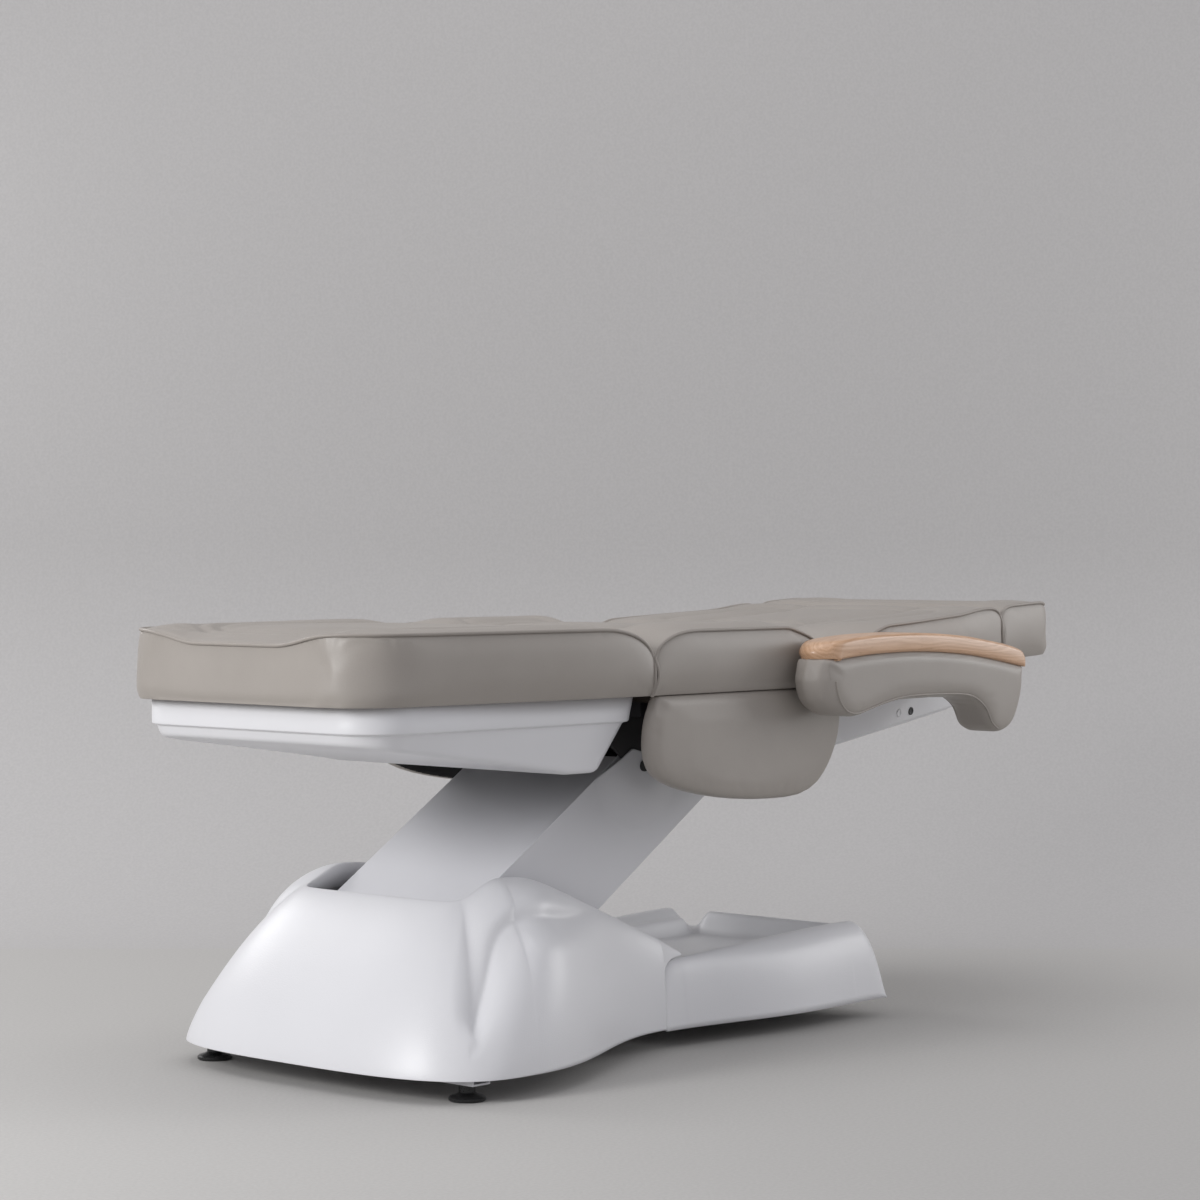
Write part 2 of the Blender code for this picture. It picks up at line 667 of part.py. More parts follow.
def make_decks(leg, seat, back, head):
    front = tray_half(LEG_FRAME_START) - COVER_T - 0.012
    rear = tray_half(TRAY_END) - COVER_T - 0.012
    end = LEG_HINGE_X - HINGE_ROOM
    board(leg, "leg_board", [(0.075, -front + 0.05), (LEG_FRAME_START, -front), (end, -rear), (end, rear),
                             (LEG_FRAME_START, front), (0.075, front - 0.05)])
    for axis, name, start, end, half in (
            (seat, "seat_board", LEG_HINGE_X + HINGE_ROOM, BACK_HINGE_X - HINGE_ROOM, FLAP_IN - GAP),
            (back, "back_board", BACK_HINGE_X + HINGE_ROOM, HEAD_HINGE_X - HINGE_ROOM,
             BACK_COVER_HALF + 0.02),
            (head, "headrest_board", HEAD_HINGE_X + HINGE_ROOM, HEAD_END - 0.015, HEAD_HALF - 0.045)):
        board(axis, name, [(start, -half), (end, -half), (end, half), (start, half)])


def lug(y, pin_x, tube_x):
    """A tongue that reaches from inside a tube to a hinge pin."""
    toward = 1 if tube_x > pin_x else -1
    root = st(tube_x) + toward * TUBE_W / 2
    low, high = TUBE_Z[0] + GAP, TUBE_Z[1] - GAP
    nose = [(st(pin_x) - toward * dx, HINGE_Z + dz) for dx, dz in arc(0, 0, EAR_R, 90, -90, 8)]
    neck = st(pin_x) + toward * EAR_R
    outline = [*nose, (neck, low), (root, low), (root, high), (neck, high)]
    return prism(outline, y - EAR_T / 2, y + EAR_T / 2)


def make_frames(leg, seat, back, head):
    """Tube rings with their hinge lugs and levers welded on, and the pins that join them."""
    rings = {}
    for axis, name, span, half in ((leg, "leg_frame", LEG_FRAME_X, LEG_FRAME_HALF),
                                   (seat, "seat_frame", SEAT_FRAME_X, SEAT_FRAME_HALF),
                                   (back, "back_frame", BACK_FRAME_X, BACK_FRAME_HALF),
                                   (head, "headrest_frame", HEAD_FRAME_X, HEAD_FRAME_HALF)):
        ring = tube_ring((st(span[0]), st(span[1])), half, TUBE_W, TUBE_Z)
        rings[name] = axis.add(name, ring, "black_steel")
    hinges = ((LEG_HINGE_X, HINGE_EAR_Y, seat, "seat_frame", SEAT_FRAME_X[0], leg, "leg_frame",
               LEG_FRAME_X[1]),
              (BACK_HINGE_X, HINGE_EAR_Y, seat, "seat_frame", SEAT_FRAME_X[1], back, "back_frame",
               BACK_FRAME_X[0]),
              (HEAD_HINGE_X, HEAD_EAR_Y, back, "back_frame", BACK_FRAME_X[1], head, "headrest_frame",
               HEAD_FRAME_X[0]))
    for pin_x, ear_y, holder, held, held_x, mover, moved, moved_x in hinges:
        for side in (-1, 1):
            weld(rings[held], holder, lug(side * ear_y, pin_x, held_x))
            weld(rings[moved], mover, lug(side * (ear_y - EAR_T - EAR_GAP), pin_x, moved_x))
        bore = 2 * (ear_y + EAR_T)
        for name, axis in ((held, holder), (moved, mover)):
            cut(rings[name], axis, rod((st(pin_x), 0, HINGE_Z), PIN_R + RUN, bore + 0.02, sides=16))
        tag = moved.replace("_frame", "")
        holder.add(f"{tag}_hinge_pin", rod((st(pin_x), 0, HINGE_Z), PIN_R, bore, sides=16), "zinc")
    for axis, name, eye, tube_x, y, side in (
            (leg, "leg_frame", LEG_HORN, LEG_FRAME_X[1] - TUBE_W, LEG_ROD_Y, 1),
            (back, "back_frame", BACK_HORN, BACK_FRAME_X[0], BACK_ROD_Y, -1)):
        weld(rings[name], axis, lever(eye, st(tube_x), y, side))
        weld(rings[name], axis, lever_pin(eye, y, side))


def lever_span(y, side):
    """The Y range of a lever beside a rod at y, on the rod's inner side."""
    face = y - side * (ROD_R + EAR_GAP)
    return sorted((face, face - side * HORN_T))


def lever(eye, tube_x, y, side):
    """A flat lever from a frame tube down to an actuator's pin."""
    roof = TUBE_Z[0] + TUBE_H / 2
    nose = arc(eye[0], eye[1], LEVER_R, 180, 360, 10)
    outline = [(tube_x, roof), *nose, (tube_x + TUBE_W - GAP, roof)]
    return prism(outline, *lever_span(y, side))


def lever_pin(eye, y, side):
    low, high = lever_span(y, side)
    start = (low + high) / 2
    end = y + side * FORK_T / 2
    return rod((eye[0], (start + end) / 2, eye[1]), HORN_PIN_R, abs(end - start), sides=12)


# Moulded under-pans: open-topped shells that carry their load from a stepped rim

def tray_half(s):
    """Half width of the leg tray's rim at a station."""
    w = blend(TRAY_FOOT_HALF, TRAY_HINGE_HALF, (s - TRAY_START) / (TRAY_END - TRAY_START))
    reach = s - TRAY_START
    if reach < TRAY_CORNER_R:
        w -= TRAY_CORNER_R - sqrt(max(TRAY_CORNER_R ** 2 - (TRAY_CORNER_R - reach) ** 2, 0.0))
    return w


def pan_row(s, half, step, step_z, deep_z, rim_z):
    """Half of a pan's cross section, from the rim down and in to the middle."""
    low = min(deep_z, step_z - 0.004)
    inner = half - step
    side = [(half, rim_z), (half, step_z + 0.006), (inner - 0.001, step_z)]
    side += [(inner - 0.007, blend(step_z, low, 0.7)), (inner - 0.011, low + 0.009)]
    side += [(inner - 0.022, low + 0.001)]
    side += [(inner * 0.6, low), (0.0, low)]
    return [(st(s), y, z) for y, z in side]


def mirrored(row):
    return row + [(x, -y, z) for x, y, z in reversed(row[:-1])]


def make_leg_tray(leg):
    rim_z = DECK_Z - GAP

    def row(s, deep):
        step = TRAY_STEP * ease((s - TRAY_STEP_START) / TRAY_STEP_RUN)
        return pan_row(s, tray_half(s), step, TRAY_STEP_Z, deep, rim_z)

    corner = [TRAY_START + TRAY_CORNER_R * f for f in (0.0, 0.04, 0.16, 0.36, 0.64, 1.0)]
    rows = []
    for s in (*corner, 0.20, 0.32, 0.45, TRAY_DEEP_X - 0.03, TRAY_DEEP_X + 0.004, TRAY_END):
        deep = blend(TRAY_FOOT_Z, TRAY_DEEP_Z, (s - TRAY_START) / (TRAY_DEEP_X - TRAY_START))
        rows.append(mirrored(row(s, max(deep, TRAY_DEEP_Z))))
    bm = sheet(rows)
    bm.verts.ensure_lookup_table()
    bm.faces.new(bm.verts[:len(rows[0])])
    tray = leg.add("leg_tray", bm, "white_shell", 40)
    thicken(tray, COVER_T, -1)
    low, high = TRAY_DEEP_Z - 0.02, TRAY_STEP_Z + 0.003
    lean = TRAY_SLANT / (high - TRAY_DEEP_Z)
    past = st(TRAY_END) + 0.05
    wedge = [(st(TRAY_DEEP_X) + (low - TRAY_DEEP_Z) * lean, low), (past, low), (past, high),
             (st(TRAY_DEEP_X) + TRAY_SLANT, high)]
    return cut(tray, leg, prism(wedge, -0.5, 0.5))


def make_back_cover(back):
    rim_z = BOARD_Z[0] - GAP
    end = BACK_COVER_END
    stations = [blend(BACK_COVER_START, end, f) for f in (0.0, 0.14, 0.40, 0.67)]
    stations += [end - 0.075, end - 0.040, end - 0.014, end]
    rows = []
    for s in stations:
        t = (s - BACK_COVER_START) / (end - BACK_COVER_START)
        w = BACK_COVER_HALF - 0.5 * falling_end(s, end, 0.09, JOINT_FACE_DROP)
        deep = blend(BACK_COVER_DEEP_Z, BACK_COVER_HEAD_Z, t)
        rows.append(mirrored(pan_row(s, w, TRAY_STEP, rim_z - 0.012, deep, rim_z)))
    bm = sheet(rows)
    bm.verts.ensure_lookup_table()
    count = len(rows[0])
    bm.faces.new([bm.verts[(len(rows) - 1) * count + i] for i in range(count)])
    cover = back.add("back_cover", bm, "white_shell", 40)
    thicken(cover, COVER_T, -1)
    for side in (-1, 1):
        y = side * BACK_COVER_HALF
        boss = st(ARM_PIVOT_X)
        notch = bar_outline((boss, boss_z()), (boss, boss_z() + 0.03), ARM_BOSS_R + 0.001)
        cut(cover, back, prism(notch, y - 0.03, y + 0.03))
        lugs = sorted((side * (HEAD_EAR_Y - 1.5 * EAR_T - CLEAR), side * (HEAD_EAR_Y + EAR_T / 2 + CLEAR)))
        cut(cover, back, box((st(end) - 0.02, st(end) + 0.02), lugs, (TUBE_Z[0] - CLEAR / 2, DECK_Z)))
    return cover


def make_flaps(seat):
    outline = [(st(s), z) for s, z in smooth(FLAP_RING, 2)]
    mid = (sum(p[0] for p in outline) / len(outline), sum(p[1] for p in outline) / len(outline))
    for side, tag in ((-1, "near"), (1, "far")):
        def layer(shrink, y):
            return [(blend(mid[0], x, shrink), side * y, min(blend(mid[1], z, shrink), DECK_Z - GAP))
                    for x, z in outline]
        out = FLAP_IN + FLAP_T
        loops = [layer(0.985, FLAP_IN), layer(1.0, FLAP_IN + 0.005), layer(1.0, out - FLAP_DOME - 0.006),
                 layer(0.985, out - FLAP_DOME), layer(0.90, out - FLAP_DOME * 0.4), layer(0.60, out)]
        seat.add(f"seat_flap_{tag}", loft(loops), "leather", 50)


# Armrests: a padded body with a bent-wood cap, turning on a boss at the back frame

def boss_z():
    return (TUBE_Z[0] + TUBE_Z[1]) / 2


def inset(outline, depth):
    """A closed outline moved inward along the mean normal of each point's two edges."""
    moved = []
    for a, b, c in zip(outline[-1:] + outline[:-1], outline, outline[1:] + outline[:1]):
        along = Vector((c[0] - a[0], c[1] - a[1])).normalized()
        moved.append((b[0] - along.y * depth, b[1] + along.x * depth))
    return moved


def bow_at(z):
    """How far an armrest's front end is bowed in plan, more on the pad than on the cap."""
    return blend(CAP_BOW, PAD_BOW, ease((ARM_CREST[0][1] - z) / PAD_BOW_RUN))


def bowed(outline, low, high, corner):
    """A bar across the bed with rounded long edges and a bowed front. The outline, in (x, z), turns left."""
    front = st(ARM_PIVOT_X) + ARM_CREST[0][0]
    width = high - low
    turns = [pi / 4 * i for i in range(3)]
    layers = [(corner * (1 - sin(a)), corner * (1 - cos(a))) for a in reversed(turns)]
    layers += [(width / 2, 0.0)] + [(width - y, d) for y, d in reversed(layers)]
    loops = []
    for y, depth in layers:
        arch = 1 - (2 * y / width - 1) ** 2
        loops.append([(x - arch * bow_at(z) * min(max(1 - (x - front) / BOW_RUN, 0.0), 1.0), low + y, z)
                      for x, z in inset(outline, depth)])
    return loft(loops)


def make_armrests(back, arms):
    crest = smooth(ARM_CREST, 3)
    under = smooth(ARM_UNDER, 2)
    pivot = st(ARM_PIVOT_X)
    pad = [(pivot + x, z) for x, z in [*crest[:-1], *under[:-1]]]
    cap_low = [(x, z + GAP) for x, z in crest]
    cap_top = [(x, z + CAP_T) for x, z in reversed(crest[2:-2])]
    cap = [(pivot + x, z) for x, z in [*cap_low, *CAP_TAIL, *cap_top, *CAP_NOSE]]
    boss = tilted(pivot, boss_z())
    for side, tag in ((-1, "near"), (1, "far")):
        axis = arms[tag]
        low, high = sorted((side * ARM_IN, side * (ARM_IN + ARM_WIDTH)))
        body = axis.add(f"armrest_pad_{tag}", bowed(pad[::-1], low, high, ARM_ROUND), "leather", 60)
        cut(body, axis, rod((boss[0], side * ARM_IN, boss[1]), ARM_PIVOT_R + RUN, 2 * ARM_PIN_DEPTH + 0.004,
                            sides=16))
        axis.add(f"armrest_cap_{tag}", bowed(cap, low, high, CAP_ROUND), "wood", 60)
        steps = ((BACK_FRAME_HALF + GAP, ARM_BOSS_R), (ARM_IN - GAP, ARM_BOSS_R),
                 (ARM_IN - GAP, ARM_PIVOT_R), (ARM_IN + ARM_PIN_DEPTH, ARM_PIVOT_R))
        loops = [[(pivot + r * cos(pi * i / 8), side * y, boss_z() + r * sin(pi * i / 8))
                  for i in range(16)] for y, r in steps]
        back.add(f"armrest_spigot_{tag}", loft(loops), "zinc")


# Lift: a channel arm with two link plates, a tie link below it and a carriage on top

def lift_eye():
    """The lift lever's pin, below the arm's lower shaft."""
    foot = on_arm(0, 0)
    return (foot[0] - HORN_REACH * sin(HORN_REST), foot[1] - HORN_REACH * cos(HORN_REST))


def make_lift(base, lift, tie, seat):
    side = [on_arm(SHELL_FOOT, SHELL_ABOVE), on_arm(SHELL_FOOT, -SHELL_BELOW * 0.75),
            on_arm(SHELL_FOOT + 0.05, -SHELL_BELOW), on_arm(SHELL_END_LOW, -SHELL_BELOW),
            on_arm(SHELL_END_HIGH, SHELL_ABOVE - 0.014), on_arm(SHELL_END_HIGH - 0.014, SHELL_ABOVE)]
    shell = lift.add("lift_arm_shell", prism(side, -ARM_HALF, ARM_HALF), "white_steel")
    hollow = [on_arm(SHELL_FOOT - 0.05, SHELL_ABOVE - SHELL_T),
              on_arm(SHELL_FOOT - 0.05, -SHELL_BELOW - 0.05),
              on_arm(SHELL_END_LOW + 0.2, -SHELL_BELOW - 0.05),
              on_arm(SHELL_END_LOW + 0.2, SHELL_ABOVE + 0.05), on_arm(SHELL_TOP_END, SHELL_ABOVE + 0.05),
              on_arm(SHELL_TOP_END, SHELL_ABOVE - SHELL_T)]
    cut(shell, lift, prism(hollow, SHELL_T - ARM_HALF, ARM_HALF - SHELL_T))
    foot, top = on_arm(0, 0), on_arm(ARM_LENGTH, 0)
    for p, r in ((foot, SHAFT_R), (top, TOP_SHAFT_R)):
        cut(shell, lift, rod((p[0], 0, p[1]), r + RUN, 1.0, sides=20))

    plate_out = ARM_HALF - SHELL_T - GAP
    for sign, tag in ((-1, "near"), (1, "far")):
        low, high = sorted((sign * plate_out, sign * (plate_out - LINK_T)))
        link = lift.add(f"lift_link_{tag}", prism(bar_outline(foot, top, LINK_R), low, high), "black_steel")
        for p, r in ((foot, SHAFT_R), (top, TOP_SHAFT_R)):
            cut(link, lift, rod((p[0], (low + high) / 2, p[1]), r + RUN, 0.05, sides=20))
    cross = on_arm(CROSS_TUBE_AT, 0.012)
    span = 2 * (plate_out - LINK_T - GAP)
    lift.add("lift_cross_tube", rod((cross[0], 0, cross[1]), CROSS_TUBE_R, span, sides=16), "black_steel")
    eye = lift_eye()
    horn_y = lever_span(LIFT_ROD_Y, 1)
    horn = lift.add("lift_torque_tube", rod((foot[0], 0, foot[1]), SLEEVE_R, span, sides=20), "black_steel")
    weld(horn, lift, prism(bar_outline(foot, eye, LEVER_R), *horn_y))
    weld(horn, lift, lever_pin(eye, LIFT_ROD_Y, 1))
    cut(horn, lift, rod((foot[0], 0, foot[1]), SHAFT_R + RUN, 1.0, sides=20))
    shaft = 2 * (RAIL_IN + BRACKET_T + 0.004)
    base.add("lift_shaft", rod((foot[0], 0, foot[1]), SHAFT_R, shaft, sides=20), "zinc")
    shaft = 2 * (ARM_HALF + CLEAR + PLATE_T + 0.006)
    seat.add("carriage_shaft", rod((top[0], 0, top[1]), TOP_SHAFT_R, shaft, sides=20), "black_steel")

    low_pin, high_pin = (foot[0], foot[1] - TIE_DROP), (top[0], top[1] - TIE_DROP)
    flat = bar_outline(low_pin, high_pin, TIE_R)
    link = tie.add("tie_link", prism(flat, -TIE_T / 2, TIE_T / 2), "black_steel")
    for p in (low_pin, high_pin):
        cut(link, tie, rod((p[0], 0, p[1]), TIE_PIN_R + RUN, 0.05, sides=16))
    cheek = TIE_T / 2 + 0.001
    pin = 2 * (cheek + 0.010)
    base.add("tie_base_pin", rod((low_pin[0], 0, low_pin[1]), TIE_PIN_R, pin, sides=16), "zinc")
    seat.add("tie_top_pin", rod((high_pin[0], 0, high_pin[1]), TIE_PIN_R - TIE_SLACK, pin, sides=16), "zinc")
    return foot, top, low_pin, high_pin, cheek


def make_carriage(seat, top, high_pin, cheek):
    """Side plates from the seat frame down to the arm, and a hanger for the tie link."""
    roof = TUBE_Z[0] - GAP
    x0, x1 = st(SEAT_FRAME_X[0]), st(SEAT_FRAME_X[1])
    inner = ARM_HALF + CLEAR
    pivot = back_motor_pivot()
    nose = arc(top[0], top[1], PLATE_EAR_R, 200, 330, 8)
    lobe = arc(pivot[0], pivot[1], PLATE_LOBE_R, 250, 330, 4)
    outline = [(x0, roof), (x0, roof - 0.030), (x0 + 0.040, roof - 0.042), *nose, *lobe,
               (x1 - 0.06, roof - 0.030), (x1, roof - 0.020), (x1, roof)]
    for sign, tag in ((-1, "near"), (1, "far")):
        low, high = sorted((sign * inner, sign * (inner + PLATE_T)))
        plate = seat.add(f"carriage_plate_{tag}", prism(outline, low, high), "black_steel")
        cut(plate, seat, rod((top[0], (low + high) / 2, top[1]), TOP_SHAFT_R + RUN, 0.05, sides=20))
    out = inner - GAP
    leg = cheek + 0.009
    foot = high_pin[1] - 0.020
    hanger = [(-out, roof), (-out, CARRIAGE_DECK), (-leg, CARRIAGE_DECK), (-leg, foot), (-cheek, foot),
              (-cheek, CARRIAGE_DECK - 0.02), (cheek, CARRIAGE_DECK - 0.02), (cheek, foot), (leg, foot),
              (leg, CARRIAGE_DECK), (out, CARRIAGE_DECK), (out, roof)]
    ob = seat.add("tie_hanger", prism(hanger, top[0] - 0.020, top[0] + 0.020, along="x"), "black_steel")
    cut(ob, seat, rod((high_pin[0], 0, high_pin[1]), TIE_PIN_R - TIE_SLACK + RUN, 0.2, sides=16))
    cut(ob, seat, rod(on_plane(top), TOP_SHAFT_R + RUN, 0.2, sides=20))


# Actuators: a round motor body with a sliding rod whose open fork takes a lever's pin

LEG_HORN = (st(LEG_HINGE_X) - LEG_HORN_BACK, HINGE_Z - LEG_HORN_DROP)
BACK_HORN = (st(BACK_HINGE_X) + BACK_HORN_AHEAD, HINGE_Z - BACK_HORN_DROP)


def back_motor_pivot():
    return (st(BACK_HINGE_X) - BACK_MOTOR_BACK, HINGE_Z - BACK_MOTOR_DROP)


def fork_rod(axis, name, eye, lean, length, y, reach):
    """A rod that runs back from its fork at a lever's pin. reach is the slot's half length."""
    def at(along, across):
        return (eye[0] + along * cos(lean) - across * sin(lean),
                eye[1] + along * sin(lean) + across * cos(lean))

    heel = reach + FORK_SLOT
    outline = [at(reach, FORK_HALF), at(-heel, FORK_HALF), at(-heel, -FORK_HALF), at(reach, -FORK_HALF),
               at(reach, -FORK_SLOT), at(-reach, -FORK_SLOT), at(-reach, FORK_SLOT), at(reach, FORK_SLOT)]
    fork = axis.add(name, prism(outline, y - FORK_T / 2, y + FORK_T / 2), "zinc")
    start = reach + 0.004
    mid = at(-(start + length) / 2, 0.0)
    turn = Matrix.Translation((mid[0], y, mid[1])) @ Matrix.Rotation(pi / 2 - lean, 4, "Y")
    bar = bmesh.new()
    bmesh.ops.create_cone(bar, cap_ends=True, segments=16, radius1=ROD_R, radius2=ROD_R,
                          depth=length - start, matrix=turn)
    return weld(fork, axis, bar)


def motor_body(axis, name, pivot, lean, barrel, y):
    """A round motor with a thinner barrel, from its tail past the pivot to the nose, bored for the rod."""
    turn = Matrix.Translation((pivot[0], y, pivot[1])) @ Matrix.Rotation(-lean, 4, "Y")
    rings = [(-MOTOR_TAIL, MOTOR_R * 0.7), (-MOTOR_TAIL * 0.6, MOTOR_R), (MOTOR_HEAD, MOTOR_R),
             (MOTOR_HEAD + 0.006, BARREL_R), (barrel - 0.004, BARREL_R), (barrel, BARREL_R - 0.003)]
    loops = []
    for along, r in rings:
        ring = [(along, r * cos(pi * i / 8), r * sin(pi * i / 8)) for i in range(16)]
        loops.append([tuple(turn @ Vector(p)) for p in ring])
    ob = axis.add(name, loft(loops), "motor", 40)
    deep = barrel - MOTOR_HEAD - 0.012
    mid = turn @ Vector((barrel - deep / 2 + 0.01, 0.0, 0.0))
    bore = bmesh.new()
    bmesh.ops.create_cone(bore, cap_ends=True, segments=16, radius1=ROD_R + RUN, radius2=ROD_R + RUN,
                          depth=deep + 0.02,
                          matrix=Matrix.Translation(mid) @ Matrix.Rotation(pi / 2 - lean, 4, "Y"))
    return cut(ob, axis, bore)


def make_actuators(base, seat, axes):
    """Lift drive on the base, leg drive and back drive under the seat."""
    eye = lift_eye()
    fork_rod(axes["lift_rod"], "lift_rod", eye, pi, LIFT_ROD, LIFT_ROD_Y, 0.014)
    motor_body(base, "lift_motor", (st(LIFT_TAIL_X), eye[1]), pi, LIFT_TAIL_X - LIFT_NOSE_X, LIFT_ROD_Y)
    fork_rod(axes["leg_rod"], "leg_rod", LEG_HORN, pi, LEG_ROD, LEG_ROD_Y, 0.014)
    tail = (st(LEG_TAIL_X), LEG_HORN[1])
    motor = motor_body(seat, "leg_motor", tail, pi, LEG_TAIL_X - LEG_NOSE_X, LEG_ROD_Y)
    foot = st(SEAT_FRAME_X[1]) - TUBE_W
    saddle = box((foot - 0.012, foot + TUBE_W - 0.006), (LEG_ROD_Y - 0.014, LEG_ROD_Y + 0.014),
                 (tail[1] + 0.006, TUBE_Z[0] - GAP))
    weld(motor, seat, saddle)
    pivot = back_motor_pivot()
    horn = tilted(*BACK_HORN)
    lean = atan2(horn[1] - pivot[1], horn[0] - pivot[0])
    motor = motor_body(axes["back_motor"], "back_motor", pivot, lean, BACK_BARREL, BACK_ROD_Y)
    cut(motor, axes["back_motor"], rod((pivot[0], BACK_ROD_Y, pivot[1]), PIN_R + RUN, 0.1, sides=16))
    fork_rod(axes["back_rod"], "back_rod", horn, lean, BACK_ROD, BACK_ROD_Y, 0.020)
    start = -(ARM_HALF + CLEAR + PLATE_T + GAP)
    end = BACK_ROD_Y - MOTOR_R - 0.003
    pin = rod((pivot[0], (start + end) / 2, pivot[1]), PIN_R, start - end, sides=16)
    seat.add("back_motor_pin", pin, "zinc")


# Base: steel frame on levelling feet under two moulded covers

def tube_bar(x, half):
    """A rectangular tube across the base, open at both ends."""
    z = (BAR_Z, BAR_Z + BAR_H)
    bm = bmesh.new()
    x0, x1 = st(x) - BAR_W / 2, st(x) + BAR_W / 2
    outer = [(x0, z[0]), (x1, z[0]), (x1, z[1]), (x0, z[1])]
    t = BAR_WALL
    inner = [(x0 + t, z[0] + t), (x1 - t, z[0] + t), (x1 - t, z[1] - t), (x0 + t, z[1] - t)]
    rows = [[bm.verts.new((p[0], y, p[1])) for p in ring] for y in (-half, half) for ring in (outer, inner)]
    a_out, a_in, b_out, b_in = rows
    for i in range(4):
        j = (i + 1) % 4
        bm.faces.new((a_out[i], a_out[j], b_out[j], b_out[i]))
        bm.faces.new((a_in[j], a_in[i], b_in[i], b_in[j]))
        bm.faces.new((a_out[j], a_out[i], a_in[i], a_in[j]))
        bm.faces.new((b_out[i], b_out[j], b_in[j], b_in[i]))
    return bm


def make_base_frame(base, foot, low_pin, cheek):
    base.add("front_crossbar", tube_bar(FRONT_BAR_X, BAR_HALF), "white_steel")
    base.add("rear_crossbar", tube_bar(REAR_BAR_X, REAR_BAR_HALF), "white_steel")
    deck = BAR_Z + BAR_H + GAP
    rail = (deck, deck + RAIL_H)
    span = (st(FRONT_BAR_X) - BAR_W / 2, st(REAR_BAR_X) + BAR_W / 2)
    top = rail[1] + GAP
    for sign, tag in ((-1, "near"), (1, "far")):
        y = sorted((sign * RAIL_IN, sign * (RAIL_IN + RAIL_W)))
        base.add(f"base_rail_{tag}", box(span, y, rail), "white_steel")
        y = sorted((sign * RAIL_IN, sign * (RAIL_IN + BRACKET_T)))
        outline = [(foot[0] - 0.075, top), (foot[0] + 0.075, top),
                   *arc(foot[0], foot[1], 0.030, -10, 190, 10)]
        plate = base.add(f"pivot_bracket_{tag}", prism(outline, *y), "black_steel")
        cut(plate, base, rod((foot[0], y[0], foot[1]), SHAFT_R + RUN, 0.06, sides=20))
    inner = RAIL_IN - GAP
    leg = cheek + 0.009
    crown = low_pin[1] + 0.018
    beam = (rail[0], rail[0] + 0.020)
    clevis = [(-inner, beam[0]), (inner, beam[0]), (inner, beam[1]), (leg, beam[1]), (leg, crown),
              (cheek, crown), (cheek, beam[1]), (-cheek, beam[1]), (-cheek, crown), (-leg, crown),
              (-leg, beam[1]), (-inner, beam[1])]
    ob = base.add("tie_clevis_beam", prism(clevis, low_pin[0] - 0.018, low_pin[0] + 0.018, along="x"),
                  "black_steel")
    cut(ob, base, rod((low_pin[0], 0, low_pin[1]), TIE_PIN_R + RUN, 0.2, sides=16))
    mid = st(LIFT_TAIL_X) - MOTOR_HEAD / 2
    base.add("motor_beam", box((mid - 0.016, mid + 0.016), (-inner, inner),
                               (rail[0], lift_eye()[1] - MOTOR_R - GAP)), "black_steel")


def make_feet(feet):
    """Levelling feet: a moulded pad, a cone and a threaded stem, turned about the stem."""
    profile = [(0.0, BAR_Z - GAP), (FOOT_STEM_R, BAR_Z - GAP), (FOOT_STEM_R, 0.0135), (0.019, 0.0105),
               (FOOT_PAD_R - 0.003, 0.0085), (FOOT_PAD_R, 0.006), (FOOT_PAD_R, 0.002),
               (FOOT_PAD_R - 0.002, 0.0), (0.0, 0.0)]
    sides = 18
    for tag, axis in feet.items():
        centre = axis.flat
        loops = []
        for r, z in profile[1:-1]:
            loops.append([(centre.x + r * cos(2 * pi * i / sides), centre.y + r * sin(2 * pi * i / sides), z)
                          for i in range(sides)])
        axis.add(f"levelling_foot_{tag}", loft(loops), "rubber", 40)


def plan_half(s):
    """Half width of the front cover's hem behind its widest place."""
    return blend(WIDE_HALF, JOIN_HALF, ease((s - WIDE_X) / (JOIN_X - WIDE_X)))


def crest_z(s):
    """Height of the front cover's rim: it climbs to a hump beside the arm and falls straight behind it."""
    climb = blend(RIM_Z, HUMP_Z, ease((s - RIM_X) / (RIM_SIDE_X - RIM_X)))
    past = s - HUMP_END_X
    return climb - RIM_SLOPE * (past + hypot(past, HUMP_ROUND)) / 2


def cover_point(f, t):
    """A point of the front cover before it is sculpted: f goes round from the front to the join, t up."""
    if f <= 1.0:
        a = f * pi / 2
        hem = (WIDE_X - (WIDE_X - FRONT_X) * cos(a) ** (2 / PLAN_POWER),
               WIDE_HALF * sin(a) ** (2 / PLAN_POWER))
        rim = (RIM_SIDE_X - (RIM_SIDE_X - RIM_X) * cos(a) ** (2 / RIM_POWER),
               RIM_HALF * sin(a) ** (2 / RIM_POWER))
    else:
        s = blend(WIDE_X, JOIN_X, f - 1.0)
        hem = (s, plan_half(s))
        rim = (blend(RIM_SIDE_X, JOIN_X, f - 1.0), blend(RIM_HALF, RIM_JOIN_HALF, ease(f - 1.0)))
    power = blend(FRONT_POWER, SIDE_POWER, ease((f - FLANK_FROM) / FLANK_RUN))
    a = t * pi / 2
    up, into = sin(a) ** (2 / power), 1 - max(cos(a), 0.0) ** (2 / power)
    return Vector((blend(hem[0], rim[0], into), blend(hem[1], rim[1], into),
                   blend(COVER_Z, crest_z(rim[0]), up)))


def to_line(p, line):
    """Distance from a flat point to a chain of points."""
    best = hypot(p[0] - line[0][0], p[1] - line[0][1])
    for (x0, y0), (x1, y1) in zip(line, line[1:]):
        dx, dy = x1 - x0, y1 - y0
        t = min(max(((p[0] - x0) * dx + (p[1] - y0) * dy) / (dx * dx + dy * dy), 0.0), 1.0)
        best = min(best, hypot(p[0] - x0 - t * dx, p[1] - y0 - t * dy))
    return best


def within(p, ring):
    """Whether a flat point lies inside a closed ring."""
    found = False
    for (x0, y0), (x1, y1) in zip(ring, ring[1:] + ring[:1]):
        if (y0 > p[1]) != (y1 > p[1]) and p[0] < x0 + (p[1] - y0) * (x1 - x0) / (y1 - y0):
            found = not found
    return found


